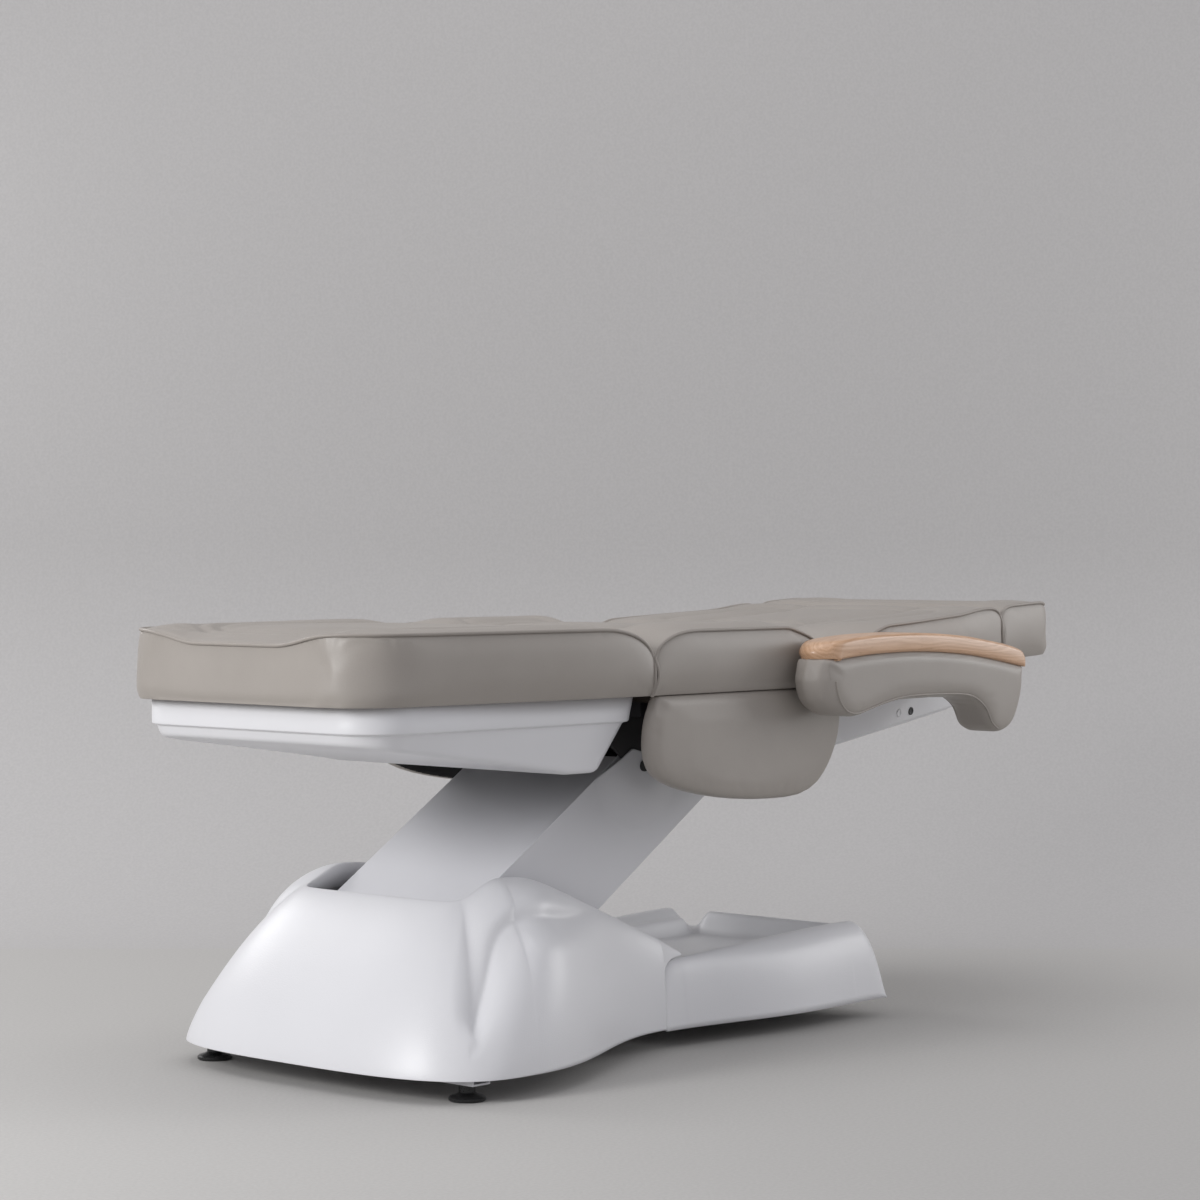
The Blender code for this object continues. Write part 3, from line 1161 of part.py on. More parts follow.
def valley_depth(f, t, front, back):
    """Depth of the valley between the front panel's edge and the bulging flank, steep at its front edge."""
    p = (f, t * VALLEY_TALL)
    if not within(p, front + back[-2:0:-1]):
        return 0.0
    ahead, behind = to_line(p, front), to_line(p, back)
    share = ahead / max(ahead + behind, 1e-6)
    if share < VALLEY_STEEP:
        shape = ease(share / VALLEY_STEEP)
    else:
        shape = 1 - ((share - VALLEY_STEEP) / (1 - VALLEY_STEEP)) ** VALLEY_EASE
    foot, top = front[0], front[-1]
    ends = ease(hypot(p[0] - foot[0], p[1] - foot[1]) / VALLEY_FOOT_RUN) * ease((top[0] - f) / VALLEY_END_RUN)
    return blend(VALLEY_POCKET, VALLEY_LEDGE, ease((f - FLANK_FROM) / LEDGE_RUN)) * shape * ends


def valley_line(points):
    """A valley edge as a smooth chain, with the way up the wall stretched to the same measure."""
    return [(f, min(t, 1.0) * VALLEY_TALL) for f, t in smooth(points, 3)]


def with_lip(points, drop):
    """Add the rim's turned-in lip to a column of points."""
    x, y, z = points[-1]
    inward = Vector((st(RIM_SIDE_X + 0.1) - x, -y, 0.0)).normalized() * SKIN
    points.append((x + inward.x, y + inward.y, z - min(LIP_ROUND, drop / 2)))
    points.append((x + inward.x, y + inward.y, z - drop))
    return points


def tongue_column(s, first, count):
    """A column of the flank behind the join, from just over the tail's ridge to the rim."""
    way = (s - JOIN_X) / (TONGUE_END - JOIN_X)
    low = Vector((st(s), blend(first[1], RIDGE_HALF - TONGUE_INSET, way ** 0.6), ridge_z(s) + TONGUE_LIFT))
    rim = Vector((st(s), blend(RIM_JOIN_HALF, RIM_HALF - 0.003, way), crest_z(s)))
    points = []
    for i in range(count):
        a = pi / 2 * i / (count - 1)
        points.append((st(s), blend(low.y, rim.y, 1 - max(cos(a), 0.0)), blend(low.z, rim.z, sin(a))))
    return with_lip(points, max(min(LIP_DROP, rim.z - low.z), 0.002))


def make_front_cover(base):
    front, back = valley_line(VALLEY_FRONT), valley_line(VALLEY_BACK)
    levels = [i / (COVER_LEVELS - 1) for i in range(COVER_LEVELS)]
    sculpted = []
    for f in COVER_STEPS:
        points = []
        for t in levels:
            p = cover_point(f, t)
            reach = valley_depth(f, t, front, back) if 0.0 < t < 1.0 else 0.0
            if reach > 0.0:
                across = cover_point(f + FACE_STEP, t) - cover_point(f - FACE_STEP, t)
                up = cover_point(f, min(t + FACE_STEP, 1.0)) - cover_point(f, t - FACE_STEP)
                p = p + across.cross(up).normalized() * reach
            points.append((st(p.x), p.y, p.z))
        side = ease((points[-1][0] - st(RIM_X)) / (RIM_SIDE_X - RIM_X))
        sculpted.append(with_lip(points, blend(LIP_FRONT_DROP, LIP_DROP, side)))
    join = sculpted[-1]
    kept = next(i for i, p in enumerate(join) if p[2] > TONGUE_FROM_Z)
    stations = [blend(JOIN_X, TONGUE_END, (i + 1) / TONGUE_STEPS) for i in range(TONGUE_STEPS)]
    tongue = [tongue_column(s, join[kept], COVER_LEVELS - kept) for s in stations]
    near = [[(x, -y, z) for x, y, z in column] for column in reversed(sculpted[1:])]
    bm = sheet(near + sculpted)
    for side in (-1, 1):
        rows = [[(x, side * y, z) for x, y, z in column] for column in (join[kept:], *tongue)]
        sheet(rows if side > 0 else [row[::-1] for row in rows], bm)
    cover = base.add("front_cover", bm, "white_shell", 45)
    return thicken(cover, SKIN, -1)


def ridge_z(s):
    """Height of the tail cover's ridges: a rounded nose at the join, then a slow climb."""
    along = min(max((s - JOIN_X) / (RIDGE_END_X - JOIN_X), 0.0), 1.0)
    climb = blend(RIDGE_START_Z, RIDGE_END_Z, 1 - (1 - along) ** 1.3)
    return climb - falling_end(s, JOIN_X, RIDGE_NOSE_RUN, RIDGE_NOSE)


def tail_half_row(s, notched):
    """Half of the tail cover's cross section, from the hem over the ridge to the middle."""
    low = COVER_Z - 0.003
    hem = blend(JOIN_HALF, TAIL_HALF, ease((s - JOIN_X) / TAIL_WIDEN))
    hem -= TAIL_TAPER * ease((s - JOIN_X - TAIL_WIDEN) / (TAIL_END - JOIN_X - TAIL_WIDEN))
    crest = ridge_z(s)
    if notched:
        crest = blend(crest, CORNER_NOTCH_Z, ease((s - RIDGE_END_X - 0.004) / CORNER_NOTCH_RUN))
    wall = (REAR_WALL_Z - TAIL_FLOOR_Z) * ease((s - REAR_WALL_X[0]) / (REAR_WALL_X[1] - REAR_WALL_X[0]))
    ridge = blend(JOIN_HALF - RIDGE_IN, RIDGE_HALF, ease((s - JOIN_X) / RIDGE_IN_RUN))
    side = [(hem, low), (blend(hem, ridge, 0.30), blend(low, crest, 0.50)),
            (blend(hem, ridge, 0.66), blend(low, crest, 0.86)), (ridge + 0.005, crest - 0.002)]
    for y, share in INNER_WALL:
        z = TAIL_FLOOR_Z + share * (crest - TAIL_FLOOR_Z)
        end = ease((REAR_WALL_HALF + CORNER_NOTCH_WIDE - y) / CORNER_NOTCH_WIDE) if notched else 1.0
        side.append((min(y, ridge - 0.004) if share == 1.0 else y, max(z, TAIL_FLOOR_Z + wall * end)))
    side.append((0.0, max(TAIL_FLOOR_Z, TAIL_FLOOR_Z + wall)))
    fall = min(max((s - TAIL_END) / TAIL_FALL + 1, 0.0), 1.0)
    return [(st(s), y, blend(low, z, sqrt(1 - fall * fall))) for y, z in side]


def make_tail_cover(base):
    rows = []
    for s in (JOIN_X + GAP, *TAIL_STEPS, TAIL_END):
        near = [(x, -y, z) for x, y, z in tail_half_row(s, False)]
        rows.append(tail_half_row(s, True) + near[-2::-1])
    cover = base.add("tail_cover", sheet(rows), "white_shell", 45)
    return thicken(cover, SKIN, -1)


def make_control_box(base):
    """The control unit lies across the rails and carries the tail cover's floor."""
    x = (st(BOX_X) - BOX_LENGTH / 2, st(BOX_X) + BOX_LENGTH / 2)
    low = BAR_Z + BAR_H + GAP + RAIL_H + GAP
    ob = base.add("control_box", box(x, (-BOX_HALF, BOX_HALF), (low, TAIL_FLOOR_Z - SKIN - GAP)), "motor")
    return round_edges(ob, 0.003, 2)


def on_plane(point, y=0.0):
    """A point of the bed's middle plane as x, y, z."""
    return point[0], y, point[1]


def main():
    clear_scene()
    base = Axis("base", 0.0, 0.0, 0.0)
    lift = Axis("lift", *on_plane(on_arm(0, 0)), parent=base)
    top = on_arm(ARM_LENGTH, 0)
    tie = Axis("tie", st(LIFT_X), 0.0, LIFT_Z - TIE_DROP, parent=base)
    seat = Axis("seat", *on_plane(top), parent=lift)
    leg = Axis("leg", st(LEG_HINGE_X), 0.0, HINGE_Z, parent=seat)
    back = Axis("back", st(BACK_HINGE_X), 0.0, HINGE_Z, tilt=BACK_TILT, parent=seat)
    head = Axis("headrest", st(HEAD_HINGE_X), 0.0, HINGE_Z, parent=back)
    boss = tilted(st(ARM_PIVOT_X), boss_z())
    arms = {tag: Axis(f"armrest_{tag}", *on_plane(boss, side * ARM_IN))
            for side, tag in ((-1, "near"), (1, "far"))}
    feet = {}
    for end, x, y in (("front", FRONT_BAR_X, FOOT_Y), ("rear", REAR_BAR_X, REAR_FOOT_Y)):
        for side, tag in ((-1, "near"), (1, "far")):
            feet[f"{end}_{tag}"] = Axis(f"foot_{end}_{tag}", st(x), side * y, 0.0, parent=base)
    motor = Axis("back_motor", *on_plane(back_motor_pivot(), BACK_ROD_Y), parent=seat)
    drives = {"lift_rod": Axis("lift_rod", *on_plane(lift_eye(), LIFT_ROD_Y), parent=base),
              "leg_rod": Axis("leg_rod", *on_plane(LEG_HORN, LEG_ROD_Y), parent=seat),
              "back_motor": motor,
              "back_rod": Axis("back_rod", *on_plane(tilted(*BACK_HORN), BACK_ROD_Y), parent=motor)}

    make_cushions(leg, seat, back, head)
    make_decks(leg, seat, back, head)
    make_frames(leg, seat, back, head)
    make_leg_tray(leg)
    make_back_cover(back)
    make_flaps(seat)
    make_armrests(back, arms)
    foot, top, low_pin, high_pin, cheek = make_lift(base, lift, tie, seat)
    make_carriage(seat, top, high_pin, cheek)
    make_actuators(base, seat, drives)
    make_base_frame(base, foot, low_pin, cheek)
    make_feet(feet)
    make_front_cover(base)
    make_tail_cover(base)
    make_control_box(base)


main()
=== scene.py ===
# %% Load the packed bed
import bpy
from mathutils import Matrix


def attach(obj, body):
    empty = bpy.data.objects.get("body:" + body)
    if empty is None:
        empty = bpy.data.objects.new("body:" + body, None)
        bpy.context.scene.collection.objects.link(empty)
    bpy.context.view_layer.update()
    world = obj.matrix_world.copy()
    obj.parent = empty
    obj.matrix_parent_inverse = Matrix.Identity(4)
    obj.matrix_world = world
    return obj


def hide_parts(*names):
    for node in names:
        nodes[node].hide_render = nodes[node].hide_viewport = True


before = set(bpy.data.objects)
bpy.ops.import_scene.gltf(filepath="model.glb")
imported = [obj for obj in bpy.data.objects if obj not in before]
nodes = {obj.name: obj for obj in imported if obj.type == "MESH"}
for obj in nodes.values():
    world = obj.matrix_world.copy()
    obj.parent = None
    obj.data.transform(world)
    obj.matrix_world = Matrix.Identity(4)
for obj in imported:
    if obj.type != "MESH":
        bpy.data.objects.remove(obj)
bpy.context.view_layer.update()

# %% [markdown]
# The bed stands with its foot end at low x, its near side at low y and the floor at z 0, in metres.
# Lengths along the bed are easier to think of as a distance from the foot end, so `at` turns such a
# station into x. `ease` and `blend` are the two curves that most of the upholstery is drawn with.

# %% Measures and small helpers
from math import cos, pi, radians, sin, sqrt, tan

import bmesh
import bpy
import numpy as np
from mathutils import Vector, noise
from mathutils.bvhtree import BVHTree

BED_LENGTH = 1.872
DECK_Z = 0.630
HINGE_Z = 0.612
BACK_HINGE = 1.158
BACK_TILT = radians(3)
scene = bpy.context.scene


def at(station):
    return station - BED_LENGTH / 2


def ease(t):
    return (1 - np.cos(pi * np.clip(t, 0.0, 1.0))) / 2


def blend(a, b, t):
    return a + (b - a) * t


print(f"bed {BED_LENGTH} m long, deck {DECK_Z} m high")

# %% [markdown]
# The camera stands where the photographer stood: low, in front of the foot end and to the near side.
# A level camera with a little vertical shift keeps the uprights upright, as in the photograph.

# %% Camera
CAMERA_AT = (-4.2781, -3.7978, 0.883)
CAMERA_LOOK = (0.7441, 0.668, 0.0)
lens = bpy.data.cameras.new("camera")
lens.sensor_fit = "HORIZONTAL"
lens.sensor_width = 36.0
lens.lens = 94.13
lens.shift_y = -0.0451
lens.clip_end = 50.0
camera = bpy.data.objects.new("camera", lens)
camera.location = CAMERA_AT
camera.rotation_euler = Vector(CAMERA_LOOK).to_track_quat("-Z", "Y").to_euler()
scene.collection.objects.link(camera)
scene.camera = camera
print("camera", tuple(round(v, 3) for v in camera.location))

# %% [markdown]
# Materials are written as sums. `Wire` stands for one socket of a node tree, and arithmetic on it adds
# Math nodes, so a bump can read as `grain * 0.7 + pores`.

# %% Arithmetic on sockets
class Wire:
    """One output of a node; arithmetic on it adds Math nodes."""

    def __init__(self, finish, socket):
        self.finish, self.socket = finish, socket

    def sum(self, operation, first, second):
        return self.finish.node("ShaderNodeMath", {"operation": operation}, {0: first, 1: second})

    def __add__(self, other):
        return self.sum("ADD", self, other)

    def __sub__(self, other):
        return self.sum("SUBTRACT", self, other)

    def __rsub__(self, other):
        return self.sum("SUBTRACT", other, self)

    def __mul__(self, other):
        return self.sum("MULTIPLY", self, other)

    __radd__ = __add__
    __rmul__ = __mul__


print("sums of sockets:", ", ".join(k for k in vars(Wire) if k.startswith("__") and k != "__init__"))

# %% [markdown]
# `Finish` is a material in the making. Its `node` method adds any node, settings first and then the
# sockets; the others are the nodes that most finishes need.

# %% A material in the making
class Finish:
    """A material in the making."""

    def __init__(self, name, **constants):
        self.material = bpy.data.materials.new(name)
        self.material.use_nodes = True
        self.tree = self.material.node_tree
        self.shader = self.tree.nodes["Principled BSDF"]
        self.set(**constants)

    def put(self, socket, value):
        if isinstance(value, Wire):
            self.tree.links.new(value.socket, socket)
        else:
            socket.default_value = value

    def node(self, kind, settings=None, sockets=None, out=0):
        made = self.tree.nodes.new(kind)
        for key, value in (settings or {}).items():
            if key == "stops":
                for i, (place, colour) in enumerate(value):
                    stop = made.color_ramp.elements[i] if i < 2 else made.color_ramp.elements.new(place)
                    stop.position, stop.color = place, colour
            else:
                setattr(made, key, value)
        for key, value in (sockets or {}).items():
            self.put(made.inputs[key], value)
        return Wire(self, made.outputs[out])

    def set(self, **values):
        for key, value in values.items():
            self.put(self.shader.inputs[key.replace("_", " ")], value)

    def place(self, scale=(1, 1, 1), turn=(0, 0, 0), shift=(0, 0, 0)):
        """Object coordinates, stretched, turned and moved."""
        spot = self.node("ShaderNodeTexCoord", out="Object")
        return self.node("ShaderNodeMapping", None,
                         {"Vector": spot, "Scale": scale, "Rotation": turn, "Location": shift})

    def noise(self, spot, scale, detail=2.0, rough=0.5, twist=0.0):
        return self.node("ShaderNodeTexNoise", None, {"Vector": spot, "Scale": scale, "Detail": detail,
                                                      "Roughness": rough, "Distortion": twist}, "Fac")

    def cells(self, spot, scale, feature="F1", out="Distance"):
        return self.node("ShaderNodeTexVoronoi", {"feature": feature}, {"Vector": spot, "Scale": scale}, out)

    def span(self, value, low, high, to_low=0.0, to_high=1.0):
        return self.node("ShaderNodeMapRange", None, {"Value": value, "From Min": low, "From Max": high,
                                                      "To Min": to_low, "To Max": to_high})

    def mix(self, share, first, second):
        """A colour between two colours; 6 and 7 are the Mix node's colour inputs."""
        return self.node("ShaderNodeMix", {"data_type": "RGBA"}, {0: share, 6: first, 7: second}, 2)

    def bump(self, height, distance, strength=1.0):
        self.set(Normal=self.node("ShaderNodeBump", None, {"Height": height, "Distance": distance,
                                                           "Strength": strength}))


print("made", Finish.__name__)

# %% [markdown]
# The upholstery is a satin synthetic leather in a warm taupe. Close up it has a pebbled grain of cells
# about a millimetre across, so a Voronoi layer and a fine noise make the pebbles and a broad noise shifts
# the tone a little from place to place. Grain in the bump alone would look flat, so it also breaks up the
# gloss.

# %% Leather
TAUPE = (0.372, 0.341, 0.311, 1)
TAUPE_DEEP = (0.318, 0.290, 0.262, 1)


def leather_finish(name, pale, deep, gloss):
    f = Finish(name, Specular_IOR_Level=0.45)
    spot = f.place()
    pebble = f.cells(spot, 700, "SMOOTH_F1")
    fine = f.noise(spot, 1500, 2)
    tone = f.noise(spot, 5.5, 3, 0.6)
    crease = f.span(pebble, 0.35, 0.75)
    f.set(Base_Color=f.mix(f.span(tone, 0.3, 0.7, 0.0, 0.55) + crease * 0.18, pale, deep),
          Roughness=f.span(pebble, 0.2, 0.8, gloss, gloss + 0.10) + fine * 0.05)
    f.bump((1 - pebble) * 0.8 + fine * 0.3, 0.00018, 0.55)
    return f.material


LEATHER = leather_finish("taupe leather", TAUPE, TAUPE_DEEP, 0.36)
WELT = leather_finish("taupe leather welt", (0.345, 0.314, 0.284, 1), (0.292, 0.264, 0.238, 1), 0.38)
print("leather finishes made")

# %% [markdown]
# The base covers are vacuum formed white plastic with a moulded grain that sparkles in the highlight.
# The pans under the leg rest and the back are the same plastic, formed smooth. The lift arm and the
# floor bars are steel with a white powder coat, whose skin has a faint orange peel.

# %% White finishes
WHITE = (0.745, 0.745, 0.765, 1)


def dimmed(colour, share):
    return tuple(c * share for c in colour[:3]) + (1,)


def white_finish(name, grain_scale, grain_depth, gloss, colour=WHITE):
    f = Finish(name)
    spot = f.place()
    grain = f.cells(spot, grain_scale, "SMOOTH_F1")
    fine = f.noise(spot, grain_scale * 2.3, 2)
    soil = f.noise(spot, 3.0, 4, 0.6)
    f.set(Base_Color=f.mix(f.span(soil, 0.35, 0.75, 0.0, 0.5), colour, dimmed(colour, 0.95)),
          Roughness=f.span(grain, 0.1, 0.9, gloss, gloss + 0.12))
    f.bump((1 - grain) + fine * 0.4, grain_depth, 0.6)
    return f.material


SHELL = white_finish("grained white shell", 520, 0.00022, 0.30)
PAN = white_finish("smooth white pan", 900, 0.00003, 0.42)
POWDER = white_finish("white powder coat", 330, 0.00007, 0.34, (0.72, 0.72, 0.745, 1))
print("white finishes made")

# %% [markdown]
# The armrest caps are bent from a pale hardwood under a satin varnish. Grain runs with the length of the
# cap, so the pattern is stretched along x; growth rings are a banded wave bent by noise, and short dark
# dashes stand for the pores.

# %% Wood
def wood_finish(name, pale, dark, coat):
    f = Finish(name, Coat_Roughness=0.22)
    spot = f.place(scale=(1.0, 9.0, 9.0))
    drift = f.noise(spot, 2.2, 3, 0.55, 0.6)
    spread = f.node("ShaderNodeVectorMath", {"operation": "ADD"},
                    {0: spot, 1: f.node("ShaderNodeCombineXYZ", None,
                                        {"X": 0.0, "Y": drift * 0.6, "Z": drift * 0.9})})
    rings = f.node("ShaderNodeTexWave", {"wave_type": "RINGS", "rings_direction": "X"},
                   {"Vector": spread, "Scale": 5.2, "Distortion": 1.2, "Detail": 3.0, "Detail Scale": 1.2,
                    "Detail Roughness": 0.6}, "Fac")
    fibre = f.noise(f.place(scale=(14.0, 420.0, 420.0)), 1.0, 3, 0.65)
    pores = f.span(f.noise(f.place(scale=(60.0, 900.0, 900.0)), 1.0, 1), 0.62, 0.74)
    tone = f.node("ShaderNodeValToRGB", {"stops": [(0.05, pale), (0.95, dark)]},
                  {"Fac": rings * 0.40 + fibre * 0.60})
    f.set(Base_Color=f.mix(pores * 0.35, tone, dimmed(dark, 0.55)),
          Roughness=f.span(fibre, 0.2, 0.8, 0.34, 0.44), Coat_Weight=coat)
    f.bump(fibre * 0.6 - pores * 0.8, 0.00012, 0.5)
    return f.material


WOOD = wood_finish("varnished beech", (0.690, 0.450, 0.286, 1), (0.480, 0.270, 0.150, 1), 0.40)
# The boards are plywood with its grain, coloured nearly black as painted shade for the gaps round the
# cushions and flaps, where they show.
GAP_SHADE_PLY = wood_finish("stained plywood", (0.050, 0.040, 0.032, 1), (0.026, 0.020, 0.016, 1), 0.0)
print("wood finishes made")

# %% [markdown]
# The hidden mechanism is plain workshop metal: black powder coat on frames and levers, bright zinc on
# pins and rods, black moulded casings on the drives, and black feet. Each has its own grain.

# %% Metal, casing and foot finishes
def black_finish(name, shade, scale, depth, gloss):
    f = Finish(name)
    spot = f.place()
    grain = f.noise(spot, scale, 3, 0.6)
    dust = f.noise(spot, 14, 4, 0.65)
    f.set(Base_Color=f.mix(f.span(dust, 0.45, 0.8, 0.0, 0.5), (shade, shade, shade * 1.05, 1),
                           (shade * 1.9, shade * 1.85, shade * 1.8, 1)),
          Roughness=f.span(grain, 0.3, 0.7, gloss, gloss + 0.14))
    f.bump(grain, depth, 0.6)
    return f.material


def zinc_finish():
    f = Finish("zinc plate", Metallic=1.0)
    spot = f.place()
    flake = f.cells(spot, 260, "F1", "Color")
    shade = f.span(f.node("ShaderNodeRGBToBW", None, {"Color": flake}), 0.0, 1.0)
    drawn = f.noise(f.place(scale=(900, 30, 900)), 1.0, 2)
    f.set(Base_Color=f.mix(shade, (0.52, 0.52, 0.53, 1), (0.66, 0.66, 0.67, 1)),
          Roughness=f.span(shade, 0.0, 1.0, 0.28, 0.40) + drawn * 0.06)
    f.bump(drawn, 0.00004, 0.5)
    return f.material


BLACK = black_finish("black powder coat", 0.027, 900, 0.00010, 0.46)
CASING = black_finish("black moulded casing", 0.030, 1400, 0.00008, 0.52)
# This black also colours the plates that close the lift arm's channel, which are painted shade.
FOOT_AND_SHADE_PLATE = black_finish("black foot and painted shade plate", 0.012, 500, 0.00004, 0.24)
LINING = black_finish("black lining cloth", 0.016, 2200, 0.00020, 0.80)
ZINC = zinc_finish()
print("metal finishes made")

# %% [markdown]
# Every CAD node gets its finish, also those that a softer piece stands for later. Whatever the table
# doesn't name is coated black.

# %% Put the finishes on the CAD pieces
def paint(mesh, finish):
    mesh.materials.clear()
    mesh.materials.append(finish)


stays = {
    SHELL: ["tail_cover", "front_cover"],
    PAN: ["leg_tray", "back_cover"],
    POWDER: ["lift_arm_shell", "front_crossbar", "rear_crossbar", "base_rail_near", "base_rail_far"],
    WOOD: ["armrest_cap_near", "armrest_cap_far"],
    GAP_SHADE_PLY: ["leg_board", "seat_board", "back_board", "headrest_board"],
    ZINC: ["lift_shaft", "tie_base_pin", "tie_top_pin", "leg_hinge_pin", "back_hinge_pin",
           "headrest_hinge_pin", "back_motor_pin", "lift_rod", "leg_rod", "back_rod",
           "armrest_spigot_near", "armrest_spigot_far"],
    CASING: ["lift_motor", "leg_motor", "back_motor", "control_box"],
    FOOT_AND_SHADE_PLATE: [n for n in nodes if n.startswith("levelling_foot")],
    LEATHER: [n for n in nodes if n.endswith("cushion") or "flap" in n or "armrest_pad" in n],
}
coated = [n for n in nodes if not any(n in names for names in stays.values())]
for finish, names in [*stays.items(), (BLACK, coated)]:
    for name in names:
        paint(nodes[name].data, finish)
print("black coated:", ", ".join(sorted(coated)))

# %% [markdown]
# The stage is a pale floor that sweeps up into a pale wall behind the bed. The wall lets the camera
# through from behind, so that the bed can be looked at from all sides. Light comes from two windows, at
# the foot end and on the far side, from the ceiling and from a fill light at the head end.

# %% Stage and light
def new_object(name, verts, faces, edges=()):
    mesh = bpy.data.meshes.new(name)
    mesh.from_pydata([tuple(v) for v in verts], list(edges), [tuple(f) for f in faces])
    ob = bpy.data.objects.new(name, mesh)
    scene.collection.objects.link(ob)
    return ob


def stage_finish(name, colour, see_through):
    f = Finish(name, Roughness=0.85, Specular_IOR_Level=0.2)
    fleck = f.noise(f.place(), 160, 2)
    f.set(Base_Color=f.mix(f.span(fleck, 0.35, 0.65, 0.0, 1.0), colour, dimmed(colour, 0.94)))
    if see_through:
        back = f.node("ShaderNodeNewGeometry", out="Backfacing")
        clear = f.node("ShaderNodeBsdfTransparent")
        shown = f.node("ShaderNodeMixShader", None,
                       {0: back, 1: Wire(f, f.shader.outputs[0]), 2: clear})
        f.put(f.tree.nodes["Material Output"].inputs["Surface"], shown)
    return f.material


FLOOR_REACH, WALL_HALF, WALL_TOP, WALL_DEPTH, SWEEP_R = 9.0, 8.0, 6.0, 2.05, 0.9
corners = [(x * FLOOR_REACH, y * FLOOR_REACH, 0.0) for x, y in ((-1, -1), (1, -1), (1, 1), (-1, 1))]
floor = new_object("floor", corners, [(0, 1, 2, 3)])
floor.data.materials.append(stage_finish("pale floor", (0.50, 0.49, 0.475, 1), False))
look = Vector(CAMERA_LOOK).normalized()
across = Vector((look.y, -look.x, 0.0))
profile = [(WALL_DEPTH - SWEEP_R + SWEEP_R * sin(a), 0.001 + SWEEP_R - SWEEP_R * cos(a))
           for a in np.linspace(0.0, pi / 2, 25)]
profile.append((WALL_DEPTH, WALL_TOP))
wall = new_object("wall", [look * d + across * w + Vector((0, 0, z))
                           for d, z in profile for w in (-WALL_HALF, WALL_HALF)],
                  [(2 * i, 2 * i + 1, 2 * i + 3, 2 * i + 2) for i in range(len(profile) - 1)])
wall.data.polygons.foreach_set("use_smooth", [True] * len(wall.data.polygons))
wall.data.materials.append(stage_finish("pale wall", (0.50, 0.49, 0.485, 1), True))


def soft_box(name, place, aim, size, watts):
    lamp = bpy.data.lights.new(name, "AREA")
    lamp.shape = "DISK"
    lamp.size = size
    lamp.energy = watts
    ob = bpy.data.objects.new(name, lamp)
    ob.location = place
    ob.rotation_euler = (Vector(aim) - Vector(place)).to_track_quat("-Z", "Y").to_euler()
    scene.collection.objects.link(ob)


soft_box("window light", (-3.6, 0.4, 1.55), (-0.3, 0.0, 0.35), 1.2, 53.0)
soft_box("side window light", (-0.9, 3.0, 2.0), (-0.6, 0.0, 0.3), 1.1, 21.0)
soft_box("ceiling light", (-0.3, 0.0, 4.0), (0.1, 0.0, 0.4), 3.4, 38.0)
soft_box("fill light", (3.3, -2.2, 1.5), (0.5, 0.0, 0.35), 2.0, 37.0)
world = bpy.data.worlds.new("studio")
scene.world = world
world.use_nodes = True
sky = world.node_tree.nodes["Background"].inputs
sky["Color"].default_value = (0.95, 0.95, 1.0, 1)
sky["Strength"].default_value = 0.55
scene.view_settings.view_transform = "Standard"
print("stage and four soft lights made")

# %% [markdown]
# Every cushion is a sewn box: a top panel, a boxing strip round the sides and a base board. Its blank is
# a box of cross sections, `rows` along the bed with `ACROSS` strips over the top and `BOXING` strips up
# each side, closed by two patches of the same strips. Because the strips follow the sewing, the seam is
# a known row of points that piping can follow later.

# %% Blank of a sewn box
ACROSS, BOXING = 84, 16
LOOP = 2 * (ACROSS + BOXING)
NEAR_SEAM = 2 * ACROSS + BOXING
FAR_SEAM = ACROSS + BOXING
BOTTOM_R, SIDE_DRAW = 0.015, 0.003
CREVICE, CREVICE_TALL = 0.0035, 0.0045
UP_SIDE = (1 - np.cos(pi * np.arange(BOXING + 1) / BOXING)) / 2


def bottom_tuck(t, tall):
    """How far the lower edge is tucked in, t up a side."""
    return BOTTOM_R * 0.75 * np.clip(1 - t * tall / (BOTTOM_R * 1.5), 0, 1) ** 2


def side_inset(t, tall):
    """How far the boxing lies inside the widest outline, t up the side, with a crevice under the seam."""
    high = np.clip((t - 0.70) / 0.30, 0, 1)
    under = np.exp(-((1 - t) * tall / CREVICE_TALL) ** 2)
    return bottom_tuck(t, tall) + SIDE_DRAW * high ** 2 + CREVICE * under


def sewn_box(rows):
    """Verts and quads of a closed box from its cross section loops."""
    verts = [p for row in rows for p in row]
    count = len(rows)
    faces = []
    for u in range(count - 1):
        for k in range(LOOP):
            n = (k + 1) % LOOP
            faces.append((u * LOOP + k, u * LOOP + n, (u + 1) * LOOP + n, (u + 1) * LOOP + k))
    for u in (0, count - 1):
        index = np.zeros((ACROSS + 1, BOXING + 1), int)
        index[:, 0] = u * LOOP + np.arange(ACROSS + 1)
        index[:, BOXING] = u * LOOP + 2 * ACROSS + BOXING - np.arange(ACROSS + 1)
        index[0, :] = u * LOOP + (LOOP - np.arange(BOXING + 1)) % LOOP
        index[ACROSS, :] = u * LOOP + ACROSS + np.arange(BOXING + 1)
        a = (np.arange(ACROSS + 1) / ACROSS)[:, None, None]
        b = (np.arange(BOXING + 1) / BOXING)[None, :, None]
        p = np.array(verts)[index]
        p = ((1 - b) * p[:, :1] + b * p[:, -1:] + (1 - a) * p[:1] + a * p[-1:]
             - (1 - a) * (1 - b) * p[0, 0] - a * (1 - b) * p[-1, 0]
             - (1 - a) * b * p[0, -1] - a * b * p[-1, -1])[1:-1, 1:-1]
        index[1:-1, 1:-1] = len(verts) + np.arange(p.size // 3).reshape(p.shape[:2])
        verts += list(p.reshape(-1, 3))
        for i in range(ACROSS):
            for j in range(BOXING):
                faces.append((index[i, j], index[i + 1, j], index[i + 1, j + 1], index[i, j + 1]))
    return verts, faces


def puff(v):
    """Share of the crown across the top: a padded border round a flat middle."""
    return np.sin(pi * np.clip((np.abs(v) - 0.58) / 0.42, 0, 1) ** 0.8) + 0.1 * (1 - v ** 2)


